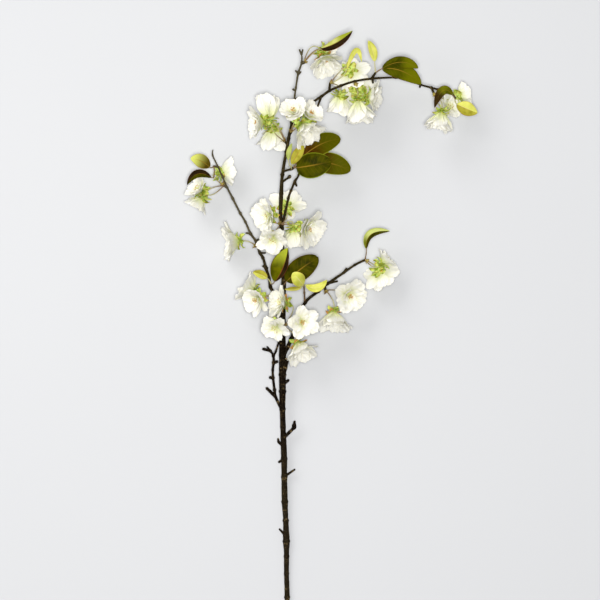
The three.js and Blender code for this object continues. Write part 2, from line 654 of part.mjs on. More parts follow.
// The pedicel and calyx cup of one blossom, with a sepal drawn out of each side of the cup
function stalkSolid(bloom, root, grow = 0) {
  const frame = bloomFrame(bloom);
  const cupFoot = frame.foot.clone().addScaledVector(frame.along, -CALYX.length);
  const reach = cupFoot.distanceTo(vector(root));
  const bend = bloom.via ? vector(bloom.via)
    : cupFoot.clone().addScaledVector(frame.along, -CALYX.pedicelBow * reach);
  const path = new THREE.QuadraticBezierCurve3(vector(root), bend, cupFoot);
  const steps = CALYX.pedicelSteps + (bloom.via ? 1 : 0);
  const stations = path.getPoints(steps).map((p) => [...p.toArray(), CALYX.pedicelRadius]);
  for (const height of [CALYX.sepalFoot, CALYX.length - SEAT_GAP]) {
    const centre = cupFoot.clone().addScaledVector(frame.along, height);
    stations.push([...centre.toArray(), CALYX.radius]);
  }
  return limbSolid(stations, WHORL.count, grow, { out: CALYX.sepalLength, back: CALYX.sepalBack });
}

function leafWidth(s) {
  return Math.max(0, Math.sin(Math.PI * s ** 0.92)) ** 0.72;
}

// A leaf: its petiole as a narrow strip that widens into a folded blade on a bowed midrib
function leafSolid(blade, root, grow = 0) {
  const [base, middle, tip, start] = [blade.base, blade.middle, blade.tip, root].map(vector);
  const pull = middle.clone().multiplyScalar(2).addScaledVector(base, -0.5).addScaledVector(tip, -0.5);
  const midrib = new THREE.QuadraticBezierCurve3(base, pull, tip);
  const heading = midrib.getTangent(0);
  const petiole = new THREE.QuadraticBezierCurve3(
    start, base.clone().addScaledVector(heading, -LEAF.petioleBow * base.distanceTo(start)), base);
  const rows = [];
  const addRow = (curve, s, halfWidth, fold) => {
    const ahead = curve.getTangent(s);
    const side = vector(blade.faces).cross(ahead).normalize();
    const normal = ahead.clone().cross(side);
    rows.push([-1, 0, 1].map((u) => [
      curve.getPoint(s).addScaledVector(side, u * (halfWidth + grow))
        .addScaledVector(normal, Math.abs(u) * halfWidth * fold),
      normal,
    ]));
  };
  for (const s of [0, 0.5]) addRow(petiole, s, LEAF.petioleRadius, 0);
  for (let i = 0; i <= LEAF.steps; i++) {
    const s = i / LEAF.steps;
    const least = i === 0 ? LEAF.petioleRadius : LEAF.tipWidth;
    addRow(midrib, s, Math.max((blade.width / 2) * leafWidth(s), least), blade.fold);
  }
  return stripSolid(rows, LEAF.thickness + 2 * grow);
}

function branchSolid(grow = 0) {
  return joined([
    ...LIMBS.map((limb) => limbSolid(limb.route, limb.sides, grow)),
    ...TWIGS.map((route) => (
      limbSolid(route, route.length > 2 ? TWIG_SIDES.bent : TWIG_SIDES.straight, grow))),
  ]);
}

// Every piece in the order it is seated: each is cut back a seat gap from those before it
const pieces = [{ name: 'branch', colour: 'bark', roughness: 0.85, make: branchSolid }];
UMBELS.forEach((umbel) => {
  pieces.push({
    name: `stalks_${umbel.name}`,
    colour: 'calyx',
    roughness: 0.6,
    make: (grow) => joined(umbel.blooms.map((bloom) => stalkSolid(bloom, umbel.root, grow))),
  });
});
LEAVES.forEach((leaf) => {
  pieces.push({
    name: leaf.name,
    colour: leaf.colour,
    roughness: 0.45,
    make: (grow) => joined(leaf.blades.map((blade) => leafSolid(blade, blade.root ?? leaf.root, grow))),
  });
});
UMBELS.forEach((umbel, u) => {
  umbel.blooms.forEach((bloom, k) => {
    pieces.push({
      name: `bloom_${umbel.name}_${k + 1}`,
      colour: 'petal',
      roughness: 0.7,
      make: (grow) => bloomSolid(bloom, 10 * u + k, grow),
    });
  });
});

function boxesMeet(a, b) {
  return [0, 1, 2].every((axis) => a.min[axis] < b.max[axis] && b.min[axis] < a.max[axis]);
}

const sprig = new THREE.Group();
const seated = [];
for (const piece of pieces) {
  let solid = piece.make(0);
  for (const earlier of seated) {
    if (boxesMeet(solid.boundingBox(), earlier.boundingBox())) solid = solid.subtract(earlier);
  }
  seated.push(piece.make(SEAT_GAP).add(solid));
  const material = new THREE.MeshStandardMaterial({
    color: COLOURS[piece.colour],
    roughness: piece.roughness,
    metalness: 0,
  });
  const mesh = new THREE.Mesh(toGeometry(solid), material);
  mesh.name = piece.name;
  sprig.add(mesh);
}
sprig.position.set(-GROUND_MIDDLE[0], -GROUND_MIDDLE[1], 0);

export default sprig;
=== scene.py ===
import math
from collections import namedtuple
from types import SimpleNamespace as Sizes

import bpy
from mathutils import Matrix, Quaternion, Vector, noise


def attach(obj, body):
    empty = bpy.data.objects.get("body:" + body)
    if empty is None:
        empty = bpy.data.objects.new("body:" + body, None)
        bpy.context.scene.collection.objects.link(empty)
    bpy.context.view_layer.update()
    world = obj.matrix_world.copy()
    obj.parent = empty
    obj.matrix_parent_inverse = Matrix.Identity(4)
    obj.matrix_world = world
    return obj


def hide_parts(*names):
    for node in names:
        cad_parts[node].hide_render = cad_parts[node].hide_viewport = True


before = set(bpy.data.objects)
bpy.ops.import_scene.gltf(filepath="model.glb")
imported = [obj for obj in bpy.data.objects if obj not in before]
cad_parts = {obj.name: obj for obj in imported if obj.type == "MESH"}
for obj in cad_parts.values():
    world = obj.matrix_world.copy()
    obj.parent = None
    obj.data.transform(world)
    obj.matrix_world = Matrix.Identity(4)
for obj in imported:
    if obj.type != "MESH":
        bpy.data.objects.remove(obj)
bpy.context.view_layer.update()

# Tables are in millimetres from the cut end: x to the right of the stem, y along it, z up
GROUND_MIDDLE = Vector((55, 380, 0))
MM = 0.001
UP = Vector((0, 0, 1))
# The most that a petal or leaf still rises above its lowest place where it is pressed to the ground
GROUND_EASE = 0.12

# A size named lowest is how high above the ground a petal, stamen, sepal or leaf bends to lie on it
PETAL = Sizes(
    thickness=0.3, claw=0.24, widest=0.6, tip=0.7, round=0.13, notch=0.05,
    notch_width=0.18, cup=0.13, roll=0.12, ruffle=0.035, ragged=0.03,
    groove=0.02, groove_width=0.16, lowest=0.25, rows=12, columns=10,
)
DISC_RADIUS = 1.9
# Layers of petals, one to a row: number of petals, offset in petals round, scale, width for length, tilt in
# degrees, height above the foot, share of the disc's radius where they stand, first random number
Layer = namedtuple("Layer", "petals offset scale width tilt height disc detail")
LAYERS = (
    Layer(5, 0, 1.08, 0.76, 4, 0.35, 1, 0),
    Layer(5, 0.5, 0.98, 0.7, -4, 0.8, 0.9, 100),
    Layer(4, 0.2, 0.78, 0.56, -14, 1.3, 0.75, 20),
    Layer(2, 0.6, 0.52, 0.46, -24, 1.9, 0.5, 40),
)
GOLDEN_SHARE = 0.618
STAMENS = Sizes(
    count=16, length=8.5, spread=34, ripe_spread=17, radius=0.17,
    anther=0.6, anther_length=0.78, foot=2, foot_radius=0.9, inside=12, lowest=0.3,
)
# Turned parts in pairs of height and radius: a blossom's green heart, its style and its calyx cup
HEART_PROFILE = ((0.05, 1.7), (1.2, 1.75), (2.1, 1.3), (2.6, 0.6))
STYLE_PROFILE = ((2, 0.45), (4, 0.3), (9, 0.25), (9.6, 0.5), (10, 0.3))
CUP_PROFILE = (
    (-0.2, 0.8), (0.6, 1.35), (1.6, 2), (2.8, 2.3), (4.2, 2.35), (5.2, 2.55), (5.8, 2.6), (5.9, 2.1),
)
# Blossoms whose anthers have ripened
RIPE = (
    "leader_1", "leader_2", "leader_3", "leader_left_3", "tip_1", "fork_4", "arch_far_3",
    "centre_3", "centre_4", "low_left_2", "right_2",
)
CALYX = Sizes(length=6, seat=2, sepal_foot=4.6, sepals=10)
PEDICEL = Sizes(
    radius=0.75, bow=0.45, step=1.5, slim=0.85,
    cup_swell=0.35, cup_length=1.2, spur_swell=0.3, spur_length=1.5,
)
SEPAL = Sizes(
    length=11, width=8.4, thickness=0.45, claw=0.6, tip=0.12, cup=0.3, roll=0.25,
    twist=0.4, ragged=0.06, lowest=0.3, rows=8, columns=6,
)
# The outer and the inner ring of sepals: how far below sepal_foot they stand, scale, and how far they lean
# out at their foot and at their tip, in degrees
SEPAL_RINGS = ((0, 1, (52, 112)), (2.4, 0.8, (78, 146)))
# Sides of the round parts
SIDES = Sizes(heart=10, style=6, filament=4, anther=5, cup=15, pedicel=8)
BUD_SCALE = Sizes(count=5, length=6, width=3.4, lean=(14, 60), back=0.8, out=0.5)
LEAF = Sizes(
    thickness=0.45, petiole=0.65, bow=0.4, droop=0.12, wave=0.05, teeth=0.008,
    overlap=1.5, widest_power=0.92, least_half=0.35, lowest=0.4, rows=30, columns=12,
)
# Side veins from stalk to tip, how far they run forward on their way to the edge, and the grooves over them
VEINS = Sizes(
    count=9, slant=1.7, groove=0.22, groove_width=0.16, midrib=0.25, midrib_width=0.08,
)
# Wood: sides round, step between its stations, and the swellings at its nodes: how far they stand out,
# how much that varies, and how long they are
WOOD = Sizes(
    stem_sides=22, limb_sides=14, twig_sides=8, limb_step=1.6, twig_step=0.9,
    knot=0.62, knot_varies=0.34, knot_length=1.4,
)
# Lumps of the bark: share of the radius, and how closely they follow each other
LUMPS = ((0.07, 0.25), (0.03, 0.9))
# A limb's rounded end: how far on, and how thick, both in radii
ROUND_END = ((0.5, 0.85), (0.85, 0.5))
RING_SPACING = 17

# Limbs by name: each is its route, with the radius at each point
LIMBS = {
  "stem": [
    [-1, 0, 2.96, 3.2], [-1.2, 50, 2.96, 3.2], [-2, 80, 3.2, 3.2], [-2, 102, 3.6, 3.2],
    [-2.2, 121, 4.3, 4.1], [-3, 147, 4.8, 3.2], [-4.2, 171, 5.6, 3.6], [-4.8, 202, 7, 3.3],
    [-5, 225, 8.2, 3.5], [-6.4, 265, 10.6, 3.1], [-7, 288, 12.2, 3.1], [-7, 310, 14, 3.7],
    [-7, 331, 16, 3.9], [-7, 356, 18, 3.9], [-7, 385, 20.5, 3.5], [-6.2, 425, 24, 3],
    [-5.2, 469, 27, 2.6], [-8, 496, 29, 2.4], [-8, 515, 30, 2.6], [-9.4, 532, 31, 2],
    [-8.5, 558, 33, 2.4], [-7, 582, 35, 1.9], [-2.2, 610, 37.5, 1.8], [0.8, 627, 39, 2],
    [4.6, 647, 40.5, 1.7], [7.4, 672, 42, 1.6], [9.8, 690, 43.5, 1.4], [12.8, 708, 45, 1.7],
    [17, 721, 46, 1.5], [17, 733, 47, 1.2],
  ],
  "arch": [
    [3.4, 640, 40, 1.5], [12.5, 650, 43, 1.5], [29.5, 670, 48, 1.6], [42, 679, 50, 1.8],
    [52, 686, 51, 1.8], [66, 692, 52, 1.6], [83, 697.5, 52, 1.5], [105, 701, 51, 1.7],
    [134, 702.5, 47, 1.3], [150, 699.5, 44, 1.3], [166, 694, 41, 1.3], [179, 690.5, 38.5, 1.5],
    [189, 688, 36.5, 1.4], [203, 684.5, 34, 1.2], [209.5, 678, 33, 1.3],
  ],
  "fork": [
    [-8, 513, 30, 2.2], [-5.2, 527, 32.5, 1.9], [0.4, 552, 35, 1.6], [3.8, 562, 35.5, 1.5],
    [8.8, 574, 35.5, 1.7], [13.4, 582, 35, 1.3], [18.5, 606, 34, 1.1],
  ],
  "left": [
    [-7.5, 376, 20, 2.8], [-12, 400, 21, 2.4], [-18, 432, 22, 2.2], [-22, 441, 22.5, 2.3],
    [-23.8, 452, 23, 2], [-27.6, 465, 23.5, 2.1], [-31.5, 478, 24, 1.9], [-35.2, 484, 24.5, 2],
    [-40.6, 499, 25, 1.8], [-46.8, 508, 25.5, 1.8], [-53.5, 523, 26, 1.6], [-60, 534, 26, 1.6],
    [-69.2, 552, 26, 1.8], [-76.4, 566, 25.5, 1.5], [-82, 579, 25, 1.6], [-87.8, 592, 24.5, 1.4],
    [-94.4, 606, 24, 1.2], [-94.4, 613, 24, 0.9],
  ],
  "right": [
    [-5.5, 356, 18, 3], [4.2, 376, 20, 2.8], [11, 398, 22, 2.3], [21.6, 422, 24.5, 2.1],
    [38, 436, 26, 2], [50.4, 446, 27, 1.9], [69.5, 459, 28.5, 1.7], [83.8, 469, 29.5, 1.5],
    [96, 475, 30, 1.7],
  ],
  "old_twig": [
    [-7.5, 286, 12.4, 2.2], [-15.4, 302.5, 15, 1.9], [-17, 312, 16, 1.8], [-18.8, 327, 17, 1.7],
    [-19.2, 337, 18, 1.7], [-18.2, 346, 19, 1.9], [-18.5, 355, 20, 1.7], [-22, 361, 21, 1.4],
    [-26, 366, 22, 1.2],
  ],
  "old_twig_side": [[-18.5, 354, 20, 1.5], [-15.2, 361, 21, 1.4], [-11.5, 373, 22.5, 1.2]],
  "stub": [[-6.5, 329, 17, 3.1], [-3.8, 340, 20, 3.1], [-1.2, 351, 23, 3]],
}
# The limbs that end in a cut face
CUT = ("stem", "stub")

# Short twigs, stubs, spurs and buds, drawn the same way with fewer sides
TWIGS = [
  [[-15.4, 303, 15, 1.8], [-26.5, 314, 16.5, 1.6]],
  [[-18.8, 327, 17, 1.8], [-22.4, 327.6, 17.5, 1.7]],
  [[-18.2, 346, 19, 1.7], [-14, 347.5, 19.5, 1.7]],
  [[-22, 361, 21, 1.4], [-30.8, 363.5, 22.5, 1.5]],
  [[-6, 224, 8.5, 1.6], [-11.2, 221, 9.5, 1.3]],
  [[-4, 203, 7.5, 1.4], [8.2, 211.5, 10.5, 1]],
  [[-3, 128, 5, 1.6], [-10.6, 136, 6, 1.1]],
  [[-5, 252, 10, 1.9], [7, 264, 13.5, 1.6], [7.6, 267, 14, 2.1], [8.2, 272, 14.5, 1.2]],
  [[-6, 241, 9.5, 1.7], [-11.5, 246, 11, 1.3], [-12.5, 250, 11.5, 1.2]],
  [[-5, 320, 15.5, 1.8], [0.2, 324, 17, 1.5]],
  [[-7, 573, 35, 1.2], [1.2, 578.5, 37.5, 1.1], [2.2, 579.5, 38, 1.6]],
  [[-6.6, 586, 36, 1.4], [3.6, 588.5, 40, 1.2], [6.4, 590, 41.5, 1.5]],
  [[9.8, 686, 43, 1.3], [6.4, 688, 44, 1.1]],
  [[7.6, 674, 42, 1.4], [11, 676.5, 43, 1.2]],
  [[12.8, 708, 45, 1.3], [9.8, 711, 46, 1]],
  [[12.8, 707, 45, 1.3], [15.8, 709.5, 46, 1]],
  [[17, 720, 46, 1.4], [19.8, 721.5, 47, 1.7]],
  [[17, 731, 47, 1.1], [14.4, 737, 48, 0.9]],
  [[17, 731, 47, 1.1], [18.4, 737, 48, 0.9]],
  [[8.6, 573, 35.5, 1.3], [10.6, 568, 37, 1.1]],
  [[42, 680, 50, 1.3], [36.5, 665, 50, 1]],
  [[51.6, 687, 51, 1.4], [52.4, 695, 53, 1.2]],
  [[105, 702, 51, 1.4], [109, 708, 52, 1.2]],
  [[105, 702, 51, 1.3], [106, 696, 50, 1.1]],
  [[166, 695, 41, 1.2], [164.6, 691, 41, 1]],
  [[179, 692, 38.5, 1.3], [182, 684, 39, 1.2]],
  [[189, 689, 36.5, 1.1], [199.6, 690.5, 37.5, 0.9]],
  [[-27.6, 465, 23.5, 1.3], [-31.4, 467.5, 24, 1.1]],
  [[-35.2, 484, 24.5, 1.2], [-28.6, 484, 26, 0.9]],
  [[-40.6, 499, 25, 1.3], [-37.2, 501, 26, 1]],
  [[-46.8, 508, 25.5, 1.2], [-52.5, 509, 26.5, 0.9]],
  [[-76.4, 566, 25.5, 1.3], [-80.6, 568.5, 27, 1.2]],
  [[-87.8, 592, 24.5, 1.2], [-93.2, 593, 25.5, 1]],
  [[46, 442, 26.6, 1.5], [46.6, 438, 28, 1.5]],
  [[50.4, 446, 27, 1.3], [61.6, 448.5, 28, 1]],
  [[69.5, 459, 28.5, 1.3], [73.2, 464.5, 29.5, 1]],
  [[21, 421, 24.3, 1.5], [20.4, 434, 30, 1.3], [19.8, 444, 36, 1.2]],
  [[-7.2, 392, 22, 2.2], [-5, 392, 27, 1.9]],
  [[-8, 516, 30, 1.9], [-9.6, 519, 34, 1.6]],
  [[1.6, 633, 39.5, 1.6], [3.4, 634, 43, 1.5]],
  [[-0.6, 620, 38.4, 1.4], [-3.6, 623, 38.6, 1.3]],
]

# The twig that is this year's growth, by its place in TWIGS, and the seed of the first twig
YOUNG_SHOOT = 36
TWIG_SEED = 20

# How much thicker than its route the wood is: pairs of a point's number on the route and a factor, or one
# pair that holds all along it
GIRTH = {
    "stem": ((0, 1), (5, 1.04), (9, 1.12), (14, 1.14), (22, 1.06), (25, 0.85), (29, 0.72)),
    "left": ((0, 0.95), (6, 0.9), (12, 0.78), (17, 0.75)),
    "limb": ((0, 0.93),),
    "twig": ((0, 1.2),),
    "young": ((0, 0.75),),
}

# Groups of blossoms: name, where the stalks leave the wood, and a row for each blossom: the foot of its
# petals, the way it looks, petal length, how far the petals lean out at their claw and at their tip and
# how far the blossom is turned, in degrees, and where the stalk has to pass round the wood, the point
# that bends it
UMBELS = [
  ("tip", (20, 721.5, 47), [
    ((45, 730, 46), (0.2, -0.85, 0.42), 26, (36, 58), 20),
    ((43.5, 738, 29), (0.75, -0.5, 0.05), 20, (36, 56), 50),
  ]),
  ("arch_near", (52.6, 695, 53), [
    ((77, 712, 44), (0.2, -0.45, -0.85), 22, (56, 82), 10),
    ((65, 681, 41), (-0.05, -0.9, -0.35), 24, (26, 40), 40),
  ]),
  ("arch_far", (84, 696, 52), [
    ((87, 688, 34), (0.15, -0.1, -1), 22, (50, 80), 5),
    ((88, 674, 43), (0.1, -0.9, 0.1), 29, (22, 36), 25),
    ((100, 680, 44), (0.95, -0.15, 0.25), 22, (42, 66), 0),
  ]),
  ("end", (182, 684, 39), [
    ((191.5, 659, 43), (-0.15, -0.95, 0.1), 24, (28, 44), 15),
    ((200, 667, 23), (0.45, 0.15, 0.85), 18, (42, 66), 60),
    ((214, 680, 25), (0.85, 0.4, -0.35), 18, (42, 60), 30),
  ]),
  ("leader_left", (-3.6, 623, 38.6), [
    ((-22, 650.5, 40), (-0.1, 0.9, -0.25), 29, (15, 24), 12),
    ((-20, 640, 34), (0, -0.85, -0.4), 27, (32, 50), 48),
    ((-31, 647, 44), (-0.93, -0.1, 0.3), 22, (40, 62), 30),
  ]),
  ("leader", (3.4, 634, 43), [
    ((7.5, 657.5, 54), (-0.15, 0.5, 0.85), 19, (40, 60), 0),
    ((25, 653.5, 53), (0.5, 0.55, 0.6), 18, (38, 56), 30),
    ((17, 643, 55), (0.55, -0.7, 0.42), 27, (30, 48), 55),
  ]),
  ("left_tip", (-80.6, 568.5, 27), [
    ((-86, 584, 19.1), (0.9, 0.1, -0.3), 21, (40, 60), 20),
    ((-108, 561, 35), (-0.7, 0.5, 0.45), 18, (40, 58), 50),
    ((-108, 553, 24), (-0.55, -0.8, -0.1), 19, (36, 54), 10),
  ]),
  ("fork", (-9.6, 519, 34), [
    ((-21.5, 531, 39), (-0.72, -0.12, 0.62), 23, (40, 64), 20),
    ((-18.5, 503, 48), (-0.1, -0.55, 0.82), 19, (50, 74), 5),
    ((-2, 541, 22), (0.1, 0.55, -0.75), 21, (56, 84), 30, (3, 528, 38)),
    ((21, 516, 42), (0.7, -0.3, 0.6), 26, (38, 60), 12),
    ((7, 515, 27), (0.1, -0.85, -0.4), 24, (36, 56), 35),
  ]),
  ("left", (-39.4, 492, 26.4), [
    ((-62, 498.5, 25), (-0.95, -0.1, 0.15), 27, (44, 72), 25),
  ]),
  ("low_left", (-19, 430, 23.6), [
    ((-42.5, 436, 26), (-0.7, 0.5, -0.1), 24, (40, 62), 10),
    ((-36, 427.5, 37), (-0.6, -0.35, 0.7), 20, (42, 64), 45),
  ]),
  ("centre", (-5, 392, 27), [
    ((-3.5, 421, 42), (-0.85, 0.15, 0.45), 22, (42, 64), 30),
    ((-15, 392.5, 45), (-0.2, -0.5, 0.8), 17, (52, 78), 0),
    ((16, 397.5, 44), (0.25, -0.05, 0.95), 20, (48, 72), 35),
    ((12.5, 371.5, 34), (0.35, -0.8, 0.35), 26, (32, 50), 18),
  ]),
  ("right", (46.6, 437.5, 28.2), [
    ((57.5, 410, 31), (-0.05, -0.9, 0.3), 27, (32, 50), 15),
    ((75, 432.5, 32), (0.35, -0.3, 0.8), 23, (46, 72), 40),
  ]),
  ("right_tip", (97, 475, 30.4), [
    ((113, 462, 22.15), (0.35, -0.6, -0.65), 24, (50, 76), 22),
    ((118, 471.5, 30), (0.65, 0.6, 0.05), 17, (40, 60), 0),
  ]),
]

# Groups whose outer sepals have begun to turn brown
AGED = ("right", "centre", "tip")

# Leaves: name, colour, where the petioles leave the wood, and a row for each blade: three points of its
# midrib, width, the way its upper side looks, how far its two halves rise from the midrib, the skins of its
# left half, right half and underside, seen along it from above, how blunt its ends are (the lower, the
# fuller), and how far off its middle the midrib lies. A blade with a root of its own, last in its row,
# leaves the petiole of the blade before it
Blade = namedtuple("Blade", "base middle tip width faces fold left right under blunt rib_at root",
                   defaults=(0.66, 0, None))
LEAVES = [
  ("leaf_top", "dark", (20, 722, 47), [
    # The upper side's left half is pale near the stalk, partly a painted highlight
    ((41, 738, 60), (60.5, 743, 70), (80, 759, 70), 18, (-0.2, 0.6, 0.75), 0.25,
     "lime", "brown", "pale", 0.8, 0.18),
  ]),
  ("leaf_strip", "young", (52.6, 695, 53), [
    ((73, 711, 58), (84.5, 735, 62), (91.5, 721, 64), 7, (-0.3, 0.3, 0.9), 0.2, "young", "young", "young"),
  ]),
  ("leaves_arch", "dark", (109.2, 708, 52.2), [
    ((117, 713, 53), (142, 710, 56), (166, 694, 52), 22, (0.05, 0.15, 1), 0.12,
     "moss", "moss", "pale", 0.6),
    ((117.5, 713.5, 54), (141, 721, 58), (162, 713.5, 58), 15, (0.1, -0.3, 1), 0.1,
     "moss", "moss", "pale", 0.6),
    ((108, 722, 53), (105.5, 736, 54), (100, 748, 54), 11, (0.35, 0, 0.95), 0.2, "young", "young", "young"),
  ]),
  ("leaves_end", "olive", (209.5, 679, 33), [
    ((211, 670, 36), (224, 664, 38), (237, 659, 36), 18, (0, 0.2, 1), 0.15, "young", "olive", "pale"),
    ((206, 681, 40), (193, 686, 46), (183, 665, 46), 12, (-0.05, 0.3, 0.95), 0.25,
     "burnt", "burnt", "brown", 0.66, 0, (209.3, 676.7, 33.8)),
  ]),
  ("leaves_leader", "dark", (6.4, 590, 41.6), [
    ((10, 590, 46), (31, 593, 50), (54, 598, 49), 32, (0.05, 0, 1), 0.1, "rimmed", "rimmed", "pale", 0.5),
    ((14, 600, 45.4), (40, 619, 44), (66, 626, 41), 27, (0, 0.2, 1), 0.12, "rusty", "rusty", "pale", 0.5),
    ((26, 597, 43), (54, 595.5, 41.6), (78, 586, 38), 27, (0.1, 0, 1), 0.1, "rusty", "rusty", "pale", 0.5),
  ]),
  ("leaves_leader_young", "young", (4.6, 589.4, 41.8), [
    ((5, 594, 50), (12, 607, 55), (20, 617, 57), 13, (0.25, 0, 1), 0.2, "olive", "olive", "pale"),
    ((0.6, 599, 50), (1.4, 610, 52), (5, 620, 52), 7, (-0.5, 0, 0.9), 0.2, "pale", "pale", "pale"),
  ]),
  ("leaves_left", "olive", (-93.2, 593, 25.5), [
    ((-98, 591, 31), (-109, 599, 35), (-122, 602, 36), 18, (0.1, 0.3, 1), 0.2,
     "turning", "turning", "olive"),
    ((-96, 578, 37), (-113, 582.5, 42), (-126, 569, 41), 11, (-0.1, 0.35, 0.93), 0.25,
     "dark", "brown", "brown"),
  ]),
  ("leaf_right", "dark", (96.4, 475.6, 30.4), [
    ((98, 489, 36), (104, 507, 40), (127, 511, 40), 13, (-0.45, 0.45, 0.75), 0.3, "edged", "dark", "pale"),
  ]),
  ("leaf_centre_oval", "dark", (-5.4, 443, 25.6), [
    ((-2, 448, 38), (17, 464.5, 44), (38, 478, 42), 28, (0.1, 0.05, 1), 0.1, "dark", "dark", "brown", 0.5),
  ]),
  ("leaves_centre", "dark", (-23, 446, 22.8), [
    ((-17, 448, 36), (-10, 469, 42), (-0.5, 490, 42), 21, (-0.15, 0, 1), 0.32,
     "fresh", "brown", "brown", 0.75, -0.5),
    ((-26, 452.5, 30), (-34, 457, 33), (-44, 460, 34), 11, (0, 0.3, 1), 0.2,
     "young", "olive", "olive", 0.66, 0, (-21.1, 445.5, 27.2)),
  ]),
  ("leaves_yellow", "young", (19.8, 444, 36.4), [
    ((19, 444, 40), (13, 451, 52), (6, 459, 54), 17, (0.2, -0.1, 1), 0.15, "young", "young", "pale", 0.55),
    ((22, 444, 40), (36, 440, 45), (48.5, 450, 50), 11, (0.1, 0.3, 1), 0.25, "young", "young", "young"),
    ((17, 441, 40), (6, 438.5, 47), (-4, 438.5, 49), 9, (0, 0.8, 0.55), 0.2, "young", "olive", "brown"),
  ]),
]


def vary(seed, detail):
    """A repeatable number from -1 to 1 for one detail of one piece."""
    wave = math.sin(seed * 12.9898 + detail * 78.233) * 4375.8545
    return 2 * (wave - math.floor(wave)) - 1


def bell(away, width):
    """Runs from 1 where away is 0 down to almost 0 at twice the width: the form of a swelling or groove."""
    return math.exp(-(away / width) ** 2)


def pairs(loop):
    """Each item of a closed loop with the one after it."""
    return zip(loop, loop[1:] + loop[:1])


def shares(count):
    """Equal steps from 0 to 1."""
    return [k / count for k in range(count + 1)]


class Shell:
    """The points and faces of one piece, in table millimetres, and what its materials read at each point:
    how far along, how far across, and a tone of its own."""

    def __init__(self):
        self.points = []
        self.marks = []
        self.faces = []
        self.materials = []

    def add(self, point, along, across, tone):
        self.points.append(point)
        self.marks.extend((along, across, tone))
        return len(self.points) - 1

    def face(self, corners, material):
        self.faces.append(corners)
        self.materials.append(material)

    def sheet(self, rows, thickness, upper, lower, tone=0, left=None):
        """A closed thin sheet on rows of (point, normal, along, across), thinner towards its edges.
        Where left is given, it is the material of the upper side's other half."""
        sides = []
        last = len(rows[0]) - 1
        end = len(rows) - 1
        for half in (0.5, -0.5):
            numbers = []
            for i, row in enumerate(rows):
                line = []
                for j, (point, normal, along, across) in enumerate(row):
                    edge = j in (0, last) or i == end
                    depth = thickness * (0.4 if edge else 1)
                    line.append(self.add(point + normal * half * depth, along, across, tone))
                numbers.append(line)
            sides.append(numbers)
        top, bottom = sides
        for i in range(end):
            for j in range(last):
                quad = (i, j), (i, j + 1), (i + 1, j + 1), (i + 1, j)
                on_left = rows[i][j][3] + rows[i][j + 1][3] >= 0
                self.face([top[a][b] for a, b in quad], left if on_left and left is not None else upper)
                self.face([bottom[a][b] for a, b in reversed(quad)], lower)
        rim = [(0, j) for j in range(last)]
        rim += [(i, last) for i in range(end)]
        rim += [(end, j) for j in range(last, 0, -1)]
        rim += [(i, 0) for i in range(end, 0, -1)]
        for (a, b), (c, d) in pairs(rim):
            self.face([top[a][b], bottom[a][b], bottom[c][d], top[c][d]], upper)

    def ring(self, centre, across, side, radius, sides, along, tone):
        """Points round a centre."""
        numbers = []
        for k in range(sides):
            turn = 2 * math.pi * k / sides
            way = across * math.cos(turn) + side * math.sin(turn)
            numbers.append(self.add(centre + way * radius, along, k / sides, tone))
        return numbers

    def tube(self, stations, sides, material, end_material=None, tone=0):
        """A round tube along stations of (centre, radius), closed by flat ends."""
        across = UP.copy()
        rings = []
        run = 0
        count = len(stations)
        for i, (centre, radius) in enumerate(stations):
            ahead = (stations[min(i + 1, count - 1)][0] - stations[max(i - 1, 0)][0]).normalized()
            across = (across - ahead * across.dot(ahead)).normalized()
            side = ahead.cross(across)
            if i:
                run += (centre - stations[i - 1][0]).length
            rings.append(self.ring(centre, across, side, radius, sides, run, tone))
        for low, high in zip(rings, rings[1:]):
            for (a, b), (c, d) in zip(pairs(low), pairs(high)):
                self.face([a, b, d, c], material)
        for ring, end, flip in ((rings[0], stations[0][0], True), (rings[-1], stations[-1][0], False)):
            middle = self.add(end, run, 0, tone)
            for a, b in pairs(ring):
                corners = [b, a, middle] if flip else [a, b, middle]
                self.face(corners, material if end_material is None else end_material)

    def ball(self, centre, along, radius, length, material):
        """A small oval ball, longer in one direction."""
        side = along.orthogonal().normalized()
        other = along.cross(side)
        rings = []
        for height in (-0.6, 0.6):
            spread = radius * math.sqrt(1 - height * height)
            middle = centre + along * length * height
            rings.append(self.ring(middle, side, other, spread, SIDES.anther, height, 0))
        foot = self.add(centre - along * length, -1, 0, 0)
        top = self.add(centre + along * length, 1, 0, 0)
        for (a, b), (c, d) in zip(pairs(rings[0]), pairs(rings[1])):
            self.face([b, a, foot], material)
            self.face([a, b, d, c], material)
            self.face([c, d, top], material)


